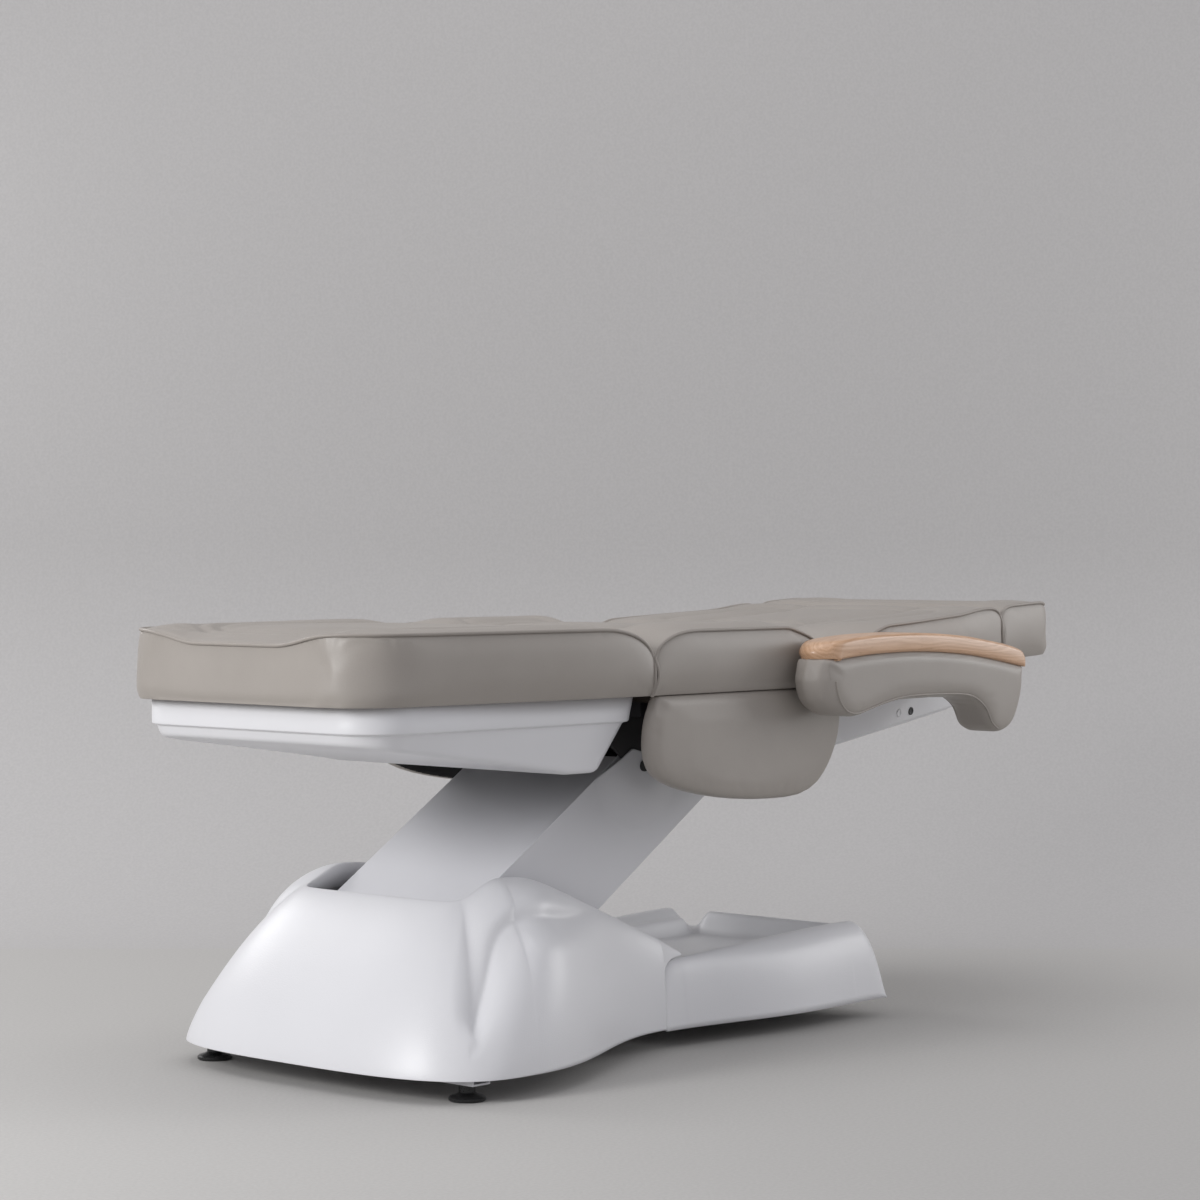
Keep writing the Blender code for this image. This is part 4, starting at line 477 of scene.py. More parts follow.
def cross_section(s, half, seam, crown, sewn, shear, dip):
    """One loop of a cushion at a station: base, far side, top and near side."""
    w, top = half(s), seam(s)
    tall = top - DECK_Z
    side_y = w - side_inset(UP_SIDE, tall)
    side_z = DECK_Z + tall * UP_SIDE
    v = np.linspace(1.0, -1.0, ACROSS + 1)
    top_y = v * side_y[-1]
    top_z = top + crown(s) * puff(v) - dip(s, v) - sewn(s, top_y)
    side_z += (top_z[0] - side_z[-1]) * UP_SIDE ** 3
    base_y = np.linspace(-side_y[0], side_y[0], ACROSS + 1)
    y = np.concatenate([base_y[:-1], side_y[:-1], top_y[:-1], -side_y[:0:-1]])
    z = np.concatenate([np.full(ACROSS, DECK_Z), side_z[:-1], top_z[:-1], side_z[:0:-1]])
    x = np.array([at(s) + shear(s, h) for h in z])
    return np.stack([x, y, z], 1)


print("a loop has", LOOP, "points")

# %% [markdown]
# Along the bed the top edge is not straight. At each hinge the top panel rolls over the end like a
# waterfall, so the seam drops along a quarter ellipse and runs down the corner. The seat and the back
# also lean away from each other, which leaves the V that closes as the back rises. The foot edge has a
# shallow scoop between the calves. Sewn lines on top are narrow dips round an inner panel.

# %% Lines of the four cushions
SEAT_HALF, HEAD_HALF, FOOT_HALF = 0.347, 0.307, 0.306
TAPER = 0.002
LEG_SEAM, SEAT_SEAM, BACK_SEAM, HEAD_SEAM = 0.744, 0.739, 0.729, 0.735
NOTCH_LEAN = tan(radians(35))
NOTCH_FOOT = (DECK_Z - HINGE_Z) * NOTCH_LEAN + 0.006
LEG_END = 0.642
SEAT_START, SEAT_END = 0.647, BACK_HINGE - NOTCH_FOOT
BACK_START, BACK_END = BACK_HINGE + NOTCH_FOOT, 1.7205
HEAD_SWELL = 0.008
HEAD_REACH = BED_LENGTH + HEAD_SWELL - BACK_HINGE + (DECK_Z - HINGE_Z) * sin(BACK_TILT)
HEAD_START, HEAD_END = 1.7235, BACK_HINGE + HEAD_REACH / cos(BACK_TILT)
LEG_ROLL = 0.118, 0.052
SEAT_ROLL = 0.105, 0.044
SEAT_NOTCH_ROLL = 0.13, 0.030
BACK_NOTCH_ROLL = 0.12, 0.030
HEAD_ROLL = 0.035, 0.018
FOOT_R, FOOT_LEAN = 0.115, 0.009
FOOT_SCOOP, SCOOP_HALF, SCOOP_RUN = 0.019, 0.235, 0.16
SEWN_DEPTH, SEWN_WIDTH = 0.0055, 0.0085
ROW_PITCH = 0.008
print("head end at station", round(HEAD_END, 4))

# %% [markdown]
# `roll` is the height that a seam loses near an end. The rows of a cushion crowd towards its ends, where
# its shape turns fastest. A sewn line is the outline of a rounded rectangle, given by the distance from it.

# %% Rolls, rows and sewn lines
def roll(s, end, run, drop):
    """Height lost where the top panel rolls over an end."""
    t = np.clip(1 - np.abs(end - s) / run, 0, 1)
    return drop * (1 - np.sqrt(1 - t * t))


def soft_ends(crown, start, end, run):
    return lambda s: crown * min(ease((s - start) / run + 0.1), ease((end - s) / run + 0.1))


def round_steps(start, end, count):
    """Stations that crowd towards start, as even steps round a quarter circle do."""
    return [start + (end - start) * (1 - cos(pi / 2 * i / count)) for i in range(count + 1)]


def stations(start, end, run, count, end_run, end_count):
    """Stations of a cushion's rows: crowded at both ends, even between."""
    low, high = start + run, end - end_run
    even = max(2, round(abs(high - low) / ROW_PITCH))
    return [*round_steps(start, low, count), *(low + (high - low) * i / even for i in range(1, even)),
            *reversed(round_steps(end, high, end_count))]


def panel_line(x_mid, x_half, y_half, corner):
    """Signed distance from a rounded rectangle sewn into the top panel."""
    def away(s, y):
        dx = np.abs(s - x_mid) - (x_half - corner)
        dy = np.abs(y) - (y_half - corner)
        outside = np.hypot(np.maximum(dx, 0), np.maximum(dy, 0))
        return outside + np.minimum(np.maximum(dx, dy), 0) - corner
    return away


def sewn_lines(*lines):
    return lambda s, y: sum(SEWN_DEPTH * np.exp(-(line(s, y) / SEWN_WIDTH) ** 2) for line in lines)


def leg_half(s):
    w = blend(FOOT_HALF, SEAT_HALF - TAPER, ease(s / LEG_END))
    return w - (FOOT_R - sqrt(FOOT_R ** 2 - (FOOT_R - s) ** 2) if s < FOOT_R else 0.0)


def leg_dip(s, v):
    scoop = ease((1 - np.abs(v) * leg_half(s) / SCOOP_HALF) * 1.7)
    return FOOT_SCOOP * scoop * (1 - ease(s / SCOOP_RUN))


def notch_face(side):
    """How far the end next to the V leans, as a shift of x that grows towards that end."""
    def shear(s, z):
        share = ease((side * (s - BACK_HINGE) + 0.20) / 0.18)
        return -side * share * (z - DECK_Z) * NOTCH_LEAN
    return shear


print(f"sewn lines {1000 * SEWN_DEPTH} mm deep")

# %% [markdown]
# A plan gives a cushion's stations, half width, seam height, crown, sewn lines, the lean of its ends and the
# dip of its top. Its cross sections are joined to a blank.

# %% Cut the four blanks
leg_lines = panel_line(0.345, 0.215, 0.215, 0.07), panel_line(0.345, 0.245, 0.248, 0.09)
seat_lines = panel_line(0.868, 0.105, 0.255, 0.05), panel_line(0.868, 0.400, 0.155, 0.05)
back_lines = panel_line(1.475, 0.165, 0.235, 0.06), panel_line(1.475, 0.500, 0.140, 0.06)
head_lines = panel_line(1.800, 0.028, 0.225, 0.02),


def leg_seam(s):
    return LEG_SEAM - roll(s, LEG_END, *LEG_ROLL)


def seat_seam(s):
    return SEAT_SEAM - roll(s, SEAT_START, *SEAT_ROLL) - roll(s, SEAT_END, *SEAT_NOTCH_ROLL)


def back_half(s):
    return blend(SEAT_HALF - TAPER, HEAD_HALF, ease((s - 1.30) / 0.38))


def back_seam(s):
    rise = blend(BACK_SEAM, HEAD_SEAM, ease((s - BACK_END) / 0.11 + 1.4))
    return rise - roll(s, BACK_START, *BACK_NOTCH_ROLL) - roll(s, BACK_END, *HEAD_ROLL)


def head_half(s):
    return HEAD_HALF - roll(s, HEAD_END, 0.030, 0.006)


def head_seam(s):
    return HEAD_SEAM - roll(s, HEAD_START, *HEAD_ROLL) - roll(s, HEAD_END, 0.03, 0.008)


def level(s, t):
    return 0.0


def leg_shear(s, z):
    """The foot face leans back towards its top and tucks in at its lower edge."""
    tall = LEG_SEAM - DECK_Z
    t = np.clip((z - DECK_Z) / tall, 0.0, 1.0)
    return FOOT_LEAN * t * (1 - ease(s / 0.09)) + bottom_tuck(t, tall) * (1 - ease(s / 0.02))


plans = {
    "leg": (stations(0.0, LEG_END, FOOT_R, 20, LEG_ROLL[0], 21), leg_half, leg_seam,
            soft_ends(0.009, 0.0, LEG_END, 0.12), leg_lines, leg_shear, leg_dip),
    "seat": (stations(SEAT_START, SEAT_END, SEAT_ROLL[0], 17, SEAT_NOTCH_ROLL[0], 20), lambda s: SEAT_HALF,
             seat_seam, soft_ends(0.012, SEAT_START, SEAT_END, 0.12), seat_lines, notch_face(1), level),
    "back": (stations(BACK_START, BACK_END, BACK_NOTCH_ROLL[0], 18, HEAD_ROLL[0], 8), back_half, back_seam,
             soft_ends(0.004, BACK_START, BACK_END, 0.08), back_lines, notch_face(-1), level),
    "headrest": (stations(HEAD_START, HEAD_END, HEAD_ROLL[0], 8, HEAD_ROLL[0], 8), head_half, head_seam,
                 soft_ends(0.004, HEAD_START, HEAD_END, 0.05), head_lines, level, level),
}
cushions, counts = {}, {}
for name, (places, half, seam, crown, lines, shear, dip) in plans.items():
    rows = [cross_section(s, half, seam, crown, sewn_lines(*lines), shear, dip) for s in places]
    verts, faces = sewn_box(rows)
    cushions[name] = new_object(f"{name}_upholstery", verts, faces)
    counts[name] = len(places)
    print(name, len(verts), "points")

# %% [markdown]
# Leather over foam bulges between its seams. Blender's cloth does that: the base and the sewn lines are
# pinned, air pressure presses the panels out, and twenty frames are enough. The result is capped, so no
# panel leaves the room that the hinges need, and the cloth is then removed.

# %% Swell the cushions
SWELL_FRAMES = 20
PRESSURE = 4.0
SWELL_CAP = 0.0045


def pin_weights(name):
    """1 where the cover is tacked to its board, less along seams and sewn lines."""
    ob, rows = cushions[name], counts[name]
    lines = plans[name][4]
    weights = np.zeros(len(ob.data.vertices))
    for i, v in enumerate(ob.data.vertices):
        s = v.co.x + BED_LENGTH / 2
        if v.co.z < DECK_Z + 0.0005:
            weights[i] = 1.0
        elif i < rows * LOOP and i % LOOP in (NEAR_SEAM, FAR_SEAM):
            weights[i] = 0.8
        elif i < rows * LOOP and FAR_SEAM < i % LOOP < NEAR_SEAM:
            nearest = min(abs(float(line(s, v.co.y))) for line in lines)
            weights[i] = 0.8 if nearest < 0.005 else 0.0
    return weights


def add_cloth(ob, weights):
    group = ob.vertex_groups.new(name="sewn down")
    for value in sorted(set(np.round(weights, 3)) - {0.0}):
        group.add([int(i) for i in np.flatnonzero(np.abs(weights - value) < 0.001)], float(value), "REPLACE")
    cloth = ob.modifiers.new("swell", "CLOTH")
    cloth.settings.quality = 4
    cloth.settings.use_pressure = True
    cloth.settings.uniform_pressure_force = PRESSURE
    cloth.settings.vertex_group_mass = "sewn down"
    cloth.settings.effector_weights.gravity = 0.0
    cloth.point_cache.frame_start = 1
    cloth.point_cache.frame_end = SWELL_FRAMES


def points_of(mesh):
    co = np.zeros(len(mesh.vertices) * 3)
    mesh.vertices.foreach_get("co", co)
    return co.reshape(-1, 3)


def set_points(ob, co):
    ob.data.vertices.foreach_set("co", np.ravel(co))
    ob.data.update()


def swell(pads, cap):
    """Run the cloth on all pads at once and keep what moved, at most cap far."""
    rest = {ob: points_of(ob.data) for ob in pads}
    for f in range(1, SWELL_FRAMES + 1):
        scene.frame_set(f)
    dg = bpy.context.evaluated_depsgraph_get()
    for ob in pads:
        moved = points_of(ob.evaluated_get(dg).data) - rest[ob]
        far = np.linalg.norm(moved, axis=1, keepdims=True)
        moved *= cap * np.tanh(far / cap) / np.maximum(far, 1e-9)
        ob.modifiers.clear()
        set_points(ob, rest[ob] + moved)
        print(f"{ob.name} swelled {1000 * np.linalg.norm(moved, axis=1).max():.1f} mm")
    scene.frame_set(1)


for name, ob in cushions.items():
    add_cloth(ob, pin_weights(name))
swell(list(cushions.values()), SWELL_CAP)

# %% [markdown]
# A finished piece is welded, what its modifiers make becomes a plain mesh, and `dress` gives it its
# material, its body and the CAD nodes that it stands for.

# %% Tools that finish a piece
def lean_back(points):
    """Turn points of the flat back about its hinge to the tilt that it rests at."""
    p = np.array(points, float)
    dx, dz = p[:, 0] - at(BACK_HINGE), p[:, 2] - HINGE_Z
    p[:, 0] = at(BACK_HINGE) + dx * cos(BACK_TILT) - dz * sin(BACK_TILT)
    p[:, 2] = HINGE_Z + dx * sin(BACK_TILT) + dz * cos(BACK_TILT)
    return p


def tidy_normals(ob, merge=0.00002, outward=False):
    """Weld a mesh and make its faces agree; outward is for a shell that isn't closed."""
    bm = bmesh.new()
    bm.from_mesh(ob.data)
    bmesh.ops.remove_doubles(bm, verts=bm.verts, dist=merge)
    bmesh.ops.recalc_face_normals(bm, faces=bm.faces)
    middle = sum((v.co for v in bm.verts), Vector()) / len(bm.verts)
    if outward and sum(f.calc_area() * f.normal.dot(f.calc_center_median() - middle) for f in bm.faces) < 0:
        bmesh.ops.reverse_faces(bm, faces=bm.faces)
    bm.to_mesh(ob.data)
    bm.free()


def settle(ob):
    """Turn what the modifiers make into the object's own mesh."""
    bpy.context.view_layer.update()
    made = bpy.data.meshes.new_from_object(ob.evaluated_get(bpy.context.evaluated_depsgraph_get()))
    old = ob.data
    ob.modifiers.clear()
    ob.data = made
    bpy.data.meshes.remove(old)
    made.name = ob.name
    return ob


def soften(ob):
    """Round the strips off with one level of subdivision."""
    ob.modifiers.new("soften", "SUBSURF").levels = 1
    ob.modifiers["soften"].render_levels = 1
    return settle(ob)


def dress(ob, finish, body, slot, *stands_for):
    """Give a finished piece its material, its body and the CAD nodes that it stands for."""
    if finish is not None:
        paint(ob.data, finish)
    ob.data.polygons.foreach_set("use_smooth", [True] * len(ob.data.polygons))
    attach(ob, body)
    if stands_for:
        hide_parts(*stands_for)
    print(f"{ob.name}: {len(ob.data.polygons)} faces on {body}")
    return ob


print("rest tilt of the back", round(BACK_TILT, 4))

# %% [markdown]
# The back rests at a tilt of three degrees, so its two cushions are turned about the back hinge. One
# level of subdivision then rounds the strips off. Along the boxing, right under the seam at the foot
# corners, the leather gathers in small puckers, which are moved into the mesh.

# %% Finish the cushions
PUCKER_PITCH, PUCKER_DEPTH = 0.0105, 0.0011
UP_NEAR = [0, *range(LOOP - 1, LOOP - BOXING, -1)]
DOWN_FAR = [*range(FAR_SEAM - 1, ACROSS - 1, -1)]
seam_paths = {}
for name, ob in cushions.items():
    co = points_of(ob.data)
    if name in ("back", "headrest"):
        co = lean_back(co)
        set_points(ob, co)
    grid = co[:counts[name] * LOOP].reshape(-1, LOOP, 3)
    if name == "headrest":
        grid = grid[::-1]
    near = [*grid[-1, UP_NEAR], *grid[::-1, NEAR_SEAM]]
    far = [*grid[:, FAR_SEAM], *grid[-1, DOWN_FAR]]
    if name in ("leg", "headrest"):
        seam_paths[name] = [near + [*grid[0, NEAR_SEAM - 1:FAR_SEAM:-1]] + far]
    else:
        seam_paths[name] = [near + [*grid[0, UP_NEAR[::-1]]], [*grid[0, DOWN_FAR[::-1]]] + far]
    tidy_normals(ob, 0.000001)
    soften(ob)


def pucker(ob):
    co = points_of(ob.data)
    normal = np.zeros(co.size)
    ob.data.vertices.foreach_get("normal", normal)
    normal = normal.reshape(-1, 3)
    for i, p in enumerate(co):
        if normal[i, 2] > 0.4 or p[2] < DECK_Z + 0.02:
            continue
        s = p[0] + BED_LENGTH / 2
        along = s + 0.9 * (0.33 - abs(p[1]))
        below = LEG_SEAM - 0.006 - p[2]
        corner = np.exp(-((s - 0.055) / 0.045) ** 2)
        wave = sin(2 * pi * along / PUCKER_PITCH + 2.0 * noise.noise(Vector(p) * 30))
        depth = PUCKER_DEPTH * corner * np.exp(-(max(below, 0.0) / 0.012) ** 2)
        co[i] += normal[i] * depth * wave
    set_points(ob, co)


pucker(cushions["leg"])
for name, ob in cushions.items():
    dress(ob, LEATHER, name, "leather", f"{name}_cushion")

# %% [markdown]
# Seams are covered with a thin welt, a cord wrapped in the same leather. It follows a path, so a small
# Geometry Nodes tree sweeps a circle along the seam points. `path_tree` makes such trees, with a size and
# a material as inputs, and each result becomes a plain mesh.

# %% Trees that follow a path
def added(tree, kind, mode=None, **values):
    """A new node of a tree, with its mode and the values of its inputs."""
    made = tree.nodes.new(f"GeometryNode{kind}")
    if mode:
        made.mode = mode
    for key, value in values.items():
        made.inputs[key.replace("_", " ")].default_value = value
    return made


def link(tree, a, out, b, into):
    tree.links.new(a.outputs[out], b.inputs[into])


def path_tree(name, size, *middle):
    """A tree that grows something along the edges of a mesh, its inputs and its row of nodes."""
    tree = bpy.data.node_groups.new(name, "GeometryNodeTree")
    ids = [tree.interface.new_socket(label, in_out=way, socket_type=f"NodeSocket{kind}").identifier
           for label, way, kind in (("Geometry", "INPUT", "Geometry"), (size, "INPUT", "Float"),
                                    ("Finish", "INPUT", "Material"), ("Geometry", "OUTPUT", "Geometry"))]
    steps = [tree.nodes.new("NodeGroupInput"), added(tree, "MeshToCurve"),
             *(added(tree, kind, mode, **values) for kind, mode, values in middle),
             added(tree, "RealizeInstances"), added(tree, "SetMaterial"), tree.nodes.new("NodeGroupOutput")]
    for a, b in zip(steps, steps[1:]):
        link(tree, a, 0, b, 0)
    link(tree, steps[0], "Finish", steps[-2], "Material")
    return tree, ids[1:3], steps


def grown(name, paths, tree, ids, *values):
    """A mesh that a tree grows from open paths."""
    verts, edges = [], []
    for p in paths:
        edges += [(len(verts) + i, len(verts) + i + 1) for i in range(len(p) - 1)]
        verts += list(p)
    ob = new_object(name, verts, [], edges)
    grow = ob.modifiers.new("grow", "NODES")
    grow.node_group = tree
    for identifier, value in zip(ids, values):
        grow[identifier] = value
    return settle(ob)


print("made", path_tree.__name__)

# %% [markdown]
# The welt of a cushion runs along its seams and down the corners at the hinges, a little outside the leather.

# %% Welt along the seams
welt_tree, welt_ids, steps = path_tree("welt", "Radius", ("ResampleCurve", "LENGTH", {"Length": 0.004}),
                                       ("CurveToMesh", None, {"Fill_Caps": True}))
ring = added(welt_tree, "CurvePrimitiveCircle", Resolution=10)
link(welt_tree, steps[0], "Radius", ring, "Radius")
link(welt_tree, ring, 0, steps[3], "Profile Curve")


def smooth_path(points, rounds=2):
    p = np.array(points, float)
    for _ in range(rounds):
        p[1:-1] = 0.25 * p[:-2] + 0.5 * p[1:-1] + 0.25 * p[2:]
    return p


def pushed_out(points, far):
    """The path moved sideways, away from the middle of the points."""
    p = smooth_path(points)
    along = np.gradient(p, axis=0)
    out = np.stack([along[:, 1], -along[:, 0]], 1)
    out *= np.sign((out * (p[:, :2] - p[:, :2].mean(0) * [1, 0])).sum(1, keepdims=True))
    out[:, 1] += 0.0005 * np.sign(p[:, 1])
    p[:, :2] += far * out / np.linalg.norm(out, axis=1, keepdims=True)
    return p


WELT_R, WELT_OUT = 0.0029, 0.0024
for name, paths in seam_paths.items():
    lines = [smooth_path(pushed_out(p, WELT_OUT)) for p in paths]
    dress(grown(f"{name}_welt", lines, welt_tree, welt_ids, WELT_R, WELT), None, name, "leather")

# %% [markdown]
# The side flaps and the armrest pads are softer forms without a boxing strip. Their CAD solids already
# have the right outline, so a copy is melted into an even skin of small quads, swelled by the same
# cloth, and smoothed. The face of a flap that looks at the mechanism is lined with black cloth.

# %% Flaps and armrest pads
SIDES = (-1, "near"), (1, "far")
SKIN_QUAD, PAD_CAP = 0.004, 0.0016
PAD_REACH, PAD_REACH_FROM = 0.012, 1.055
FLAP_REACH, FLAP_REACH_FROM = 0.014, 0.80
PIVOT_X = 1.530
ARM_CREST = [(-0.519, 0.6846), (-0.450, 0.6908), (-0.370, 0.6945), (-0.256, 0.6946), (-0.135, 0.6871),
             (-0.046, 0.6760), (0.061, 0.6586)]


def copy_of(node, name):
    """A welded copy of a CAD node."""
    ob = bpy.data.objects.new(name, nodes[node].data.copy())
    scene.collection.objects.link(ob)
    tidy_normals(ob)
    return ob


def melted(node, name):
    """A copy of a CAD solid as one even skin."""
    ob = copy_of(node, name)
    skin = ob.modifiers.new("even", "REMESH")
    skin.mode = "VOXEL"
    skin.voxel_size = SKIN_QUAD
    return settle(ob)


def relax(ob, rounds, keep):
    """Smooth a skin, apart from the points to keep."""
    bm = bmesh.new()
    bm.from_mesh(ob.data)
    loose = [v for v in bm.verts if not keep(v.co)]
    for _ in range(rounds):
        bmesh.ops.smooth_vert(bm, verts=loose, factor=0.5, use_axis_x=True, use_axis_y=True, use_axis_z=True)
    bm.to_mesh(ob.data)
    bm.free()


def under_cap(p):
    """Whether a point of an armrest pad lies against the wooden cap."""
    return p[2] > np.interp(p[0] - at(PIVOT_X), *np.array(ARM_CREST).T) - 0.010


def nowhere(p):
    return False


soft = {}
for _, tag in SIDES:
    soft[f"flap_{tag}"] = "seat", f"seat_flap_{tag}", nowhere
    soft[f"armrest_{tag}"] = f"armrest_{tag}", f"armrest_pad_{tag}", under_cap
pads = {name: melted(node, f"{name}_upholstery") for name, (_, node, _) in soft.items()}
for name, ob in pads.items():
    relax(ob, 2, soft[name][2])
    co = points_of(ob.data)
    if "armrest" in name:
        co[:, 0] -= PAD_REACH * ease((at(PAD_REACH_FROM) - co[:, 0]) / 0.06)
    else:
        co[:, 0] += FLAP_REACH * ease((co[:, 0] - at(FLAP_REACH_FROM)) / 0.2)
    set_points(ob, co)
    co = points_of(ob.data)
    pinned = co[:, 2] > co[:, 2].max() - 0.004 if "flap" in name else [under_cap(p) for p in co]
    add_cloth(ob, np.where(pinned, 1.0, 0.0))
swell(list(pads.values()), PAD_CAP)
for name, ob in pads.items():
    body, node, keep = soft[name]
    relax(ob, 2, keep)
    soften(ob)
    dress(ob, LEATHER, body, "leather", node)
    if "flap" in name:
        ob.data.materials.append(LINING)
        side = 1 if "near" in name else -1
        inner = [side * p.normal.y > 0.6 for p in ob.data.polygons]
        ob.data.polygons.foreach_set("material_index", [int(i) for i in inner])

# %% [markdown]
# An armrest pad is sewn from two sides and a strip. A welt marks where the strip meets each side, along the
# lower outline, and a short seam with a row of stitches closes the cover at the front corner. Both follow
# paths that are laid on the finished pad: each point of a drawn line is moved to the nearest place on it.

# %% Welts and stitches of the armrest pads
PAD_LINE = [(1.0095, 0.646), (1.019, 0.616), (1.043, 0.591), (1.075, 0.583), (1.124, 0.592), (1.165, 0.601),
            (1.223, 0.608), (1.342, 0.607), (1.395, 0.605), (1.430, 0.599), (1.466, 0.580), (1.484, 0.553),
            (1.506, 0.538)]
PAD_SIDES, PAD_WELT_R = (0.3605, 0.4475), 0.0017
STITCH_SEAM = [(0.994, 0.684), (0.993, 0.675), (0.9935, 0.662), (0.996, 0.650)]
STITCH_PITCH, THREAD_R = 0.0042, 0.0011
stitch_tree, stitch_ids, steps = path_tree("stitches", "Pitch", ("CurveToPoints", "LENGTH", {}),
                                           ("InstanceOnPoints", None, {}))
spots, sown = steps[2:4]
thread = added(stitch_tree, "MeshUVSphere", Segments=6, Rings=5, Radius=THREAD_R)
drawn_out = added(stitch_tree, "Transform", Scale=(0.55, 0.55, 1.5))
for a, out, b, into in ((steps[0], "Pitch", spots, "Length"), (thread, 0, drawn_out, 0),
                        (drawn_out, 0, sown, "Instance"), (spots, "Rotation", sown, "Rotation")):
    link(stitch_tree, a, out, b, into)


def spline(points, per_span):
    """Points on a smooth curve through the given flat points."""
    p = [np.array(q, float) for q in points]
    p = [2 * p[0] - p[1], *p, 2 * p[-1] - p[-2]]
    found = []
    for a, b, c, d in zip(p, p[1:], p[2:], p[3:]):
        for i in range(per_span):
            t = i / per_span
            found.append(0.5 * (2 * b + (c - a) * t + (2 * a - 5 * b + 4 * c - d) * t * t
                                + (3 * b - a - 3 * c + d) * t ** 3))
    return np.array(found + [p[-2]])


def skin_tree(mesh):
    return BVHTree.FromPolygons([v.co for v in mesh.vertices], [p.vertices for p in mesh.polygons])


def laid_on(ob, line, y, above):
    """A drawn line of stations and heights, laid on an object from the plane at y."""
    tree = skin_tree(ob.data)
    found = []
    for s, z in spline(line, 10):
        spot, normal, _, _ = tree.find_nearest(Vector((at(s), y, z)))
        found.append(spot + normal * above)
    return smooth_path(found, 4)


for side, tag in SIDES:
    body = f"armrest_{tag}"
    lines = [laid_on(pads[body], PAD_LINE, side * y, 0.0004) for y in PAD_SIDES]
    seam = laid_on(pads[body], STITCH_SEAM, side * PAD_SIDES[1], 0.0002)
    dress(grown(f"{body}_welt", lines, welt_tree, welt_ids, PAD_WELT_R, WELT), None, body, "leather")
    stitches = grown(f"{body}_stitches", [seam], stitch_tree, stitch_ids, STITCH_PITCH, WELT)
    dress(stitches, None, body, "leather")

# %% [markdown]
# The front cover is the one piece with sculpture in it. From above its hem is a superellipse that narrows
# into a waist; the wall rises from the hem to the rim of the arm's opening along another superellipse,
# flat in front and round on the flanks. `way` runs round the cover, from 0 in the middle of the front
# over 1 at the widest place to 2 at the join. A fine grid of such columns needs no subdivision.

# %% Wall of the front cover
FRONT_X, WIDE_X, JOIN_X = 0.132, 0.330, 0.815
WIDE_HALF, JOIN_HALF = 0.371, 0.224
RIM_X, RIM_SIDE_X, RIM_HALF, RIM_JOIN_HALF = 0.318, 0.430, 0.187, 0.194
RIM_Z, HUMP_Z, HUMP_END, HUMP_ROUND, RIM_SLOPE, HEM_Z = 0.300, 0.3335, 0.495, 0.040, 0.426, 0.0375
PLAN_POWER, FRONT_POWER, SIDE_POWER, RIM_POWER = 3.2, 1.27, 2.1, 8.0
SHELL_T = 0.004
LEVELS = 80
up_wall = np.linspace(0.0, 1.0, LEVELS)


def crest(s):
    """Height of the rim: a hump beside the arm, then a straight fall."""
    climb = blend(RIM_Z, HUMP_Z, ease((s - RIM_X) / (RIM_SIDE_X - RIM_X)))
    return climb - RIM_SLOPE * (s - HUMP_END + np.hypot(s - HUMP_END, HUMP_ROUND)) / 2


def cover_column(way):
    """Points from hem to rim."""
    if way <= 1.0:
        c, s = cos(way * pi / 2), sin(way * pi / 2)
        hem = WIDE_X - (WIDE_X - FRONT_X) * c ** (2 / PLAN_POWER), WIDE_HALF * s ** (2 / PLAN_POWER)
        rim = RIM_SIDE_X - (RIM_SIDE_X - RIM_X) * c ** (2 / RIM_POWER), RIM_HALF * s ** (2 / RIM_POWER)
    else:
        along = blend(WIDE_X, JOIN_X, way - 1.0)
        hem = along, blend(WIDE_HALF, JOIN_HALF, ease(way - 1.0))
        rim = blend(RIM_SIDE_X, JOIN_X, way - 1.0), blend(RIM_HALF, RIM_JOIN_HALF, ease(way - 1.0))
    power = blend(FRONT_POWER, SIDE_POWER, ease((way - 0.72) / 0.5))
    a = up_wall * pi / 2
    up, into = np.sin(a) ** (2 / power), 1 - np.abs(np.cos(a)) ** (2 / power)
    return np.stack([blend(hem[0], rim[0], into), blend(hem[1], rim[1], into),
                     blend(HEM_Z, crest(rim[0]), up)], 1)


to_side = 2 / pi * np.arccos(np.linspace(0.5, 0, 26, False) ** (RIM_POWER / 2))
ways = np.concatenate([np.linspace(0, 0.42, 14, False), np.linspace(0.42, to_side[0], 70, False), to_side,
                       np.linspace(1.0, 1.15, 18, False), np.linspace(1.15, 2.0, 64)])
cover = np.array([cover_column(f) for f in ways])
print("front cover:", cover.shape[0], "columns on each side")

# %% [markdown]
# Between the front panel and the bulging flank lies a valley: a pocket that slopes in from a fine crease,
# and above it a ledge under the rim. Its crease and its deepest line are drawn as curves on the unrolled
# wall, `way` against the height. On the panel's side a point's share of the way from the crease gives the
# depth, on the flank's side its distance from the deepest line does.

# %% Press the valley
VALLEY_TALL, VALLEY_POCKET, VALLEY_LEDGE = 1.2, 0.020, 0.016
stretch = np.array([1.0, VALLEY_TALL])
crease = np.minimum(spline([(0.682, 0.250), (0.630, 0.285), (0.583, 0.345), (0.568, 0.432), (0.580, 0.530),
                            (0.625, 0.660), (0.723, 0.800), (0.860, 1.0), (1.100, 1.0), (1.300, 1.0),
                            (1.600, 1.0)], 8), [9.0, 1.0]) * stretch
deepest = np.minimum(spline([(0.682, 0.250), (0.733, 0.352), (0.802, 0.462), (0.875, 0.563), (0.950, 0.628),
                             (1.010, 0.650), (1.078, 0.652), (1.188, 0.645), (1.350, 0.680), (1.490, 0.790),
                             (1.600, 1.0)], 8), [9.0, 1.0]) * stretch


def away_from(points, line):
    """Distance of flat points from a chain."""
    a, d = line[:-1], np.diff(line, axis=0)
    rel = points[:, None] - a
    t = np.clip((rel * d).sum(2) / np.maximum((d * d).sum(1), 1e-12), 0, 1)
    return np.linalg.norm(rel - t[..., None] * d, axis=2).min(1)


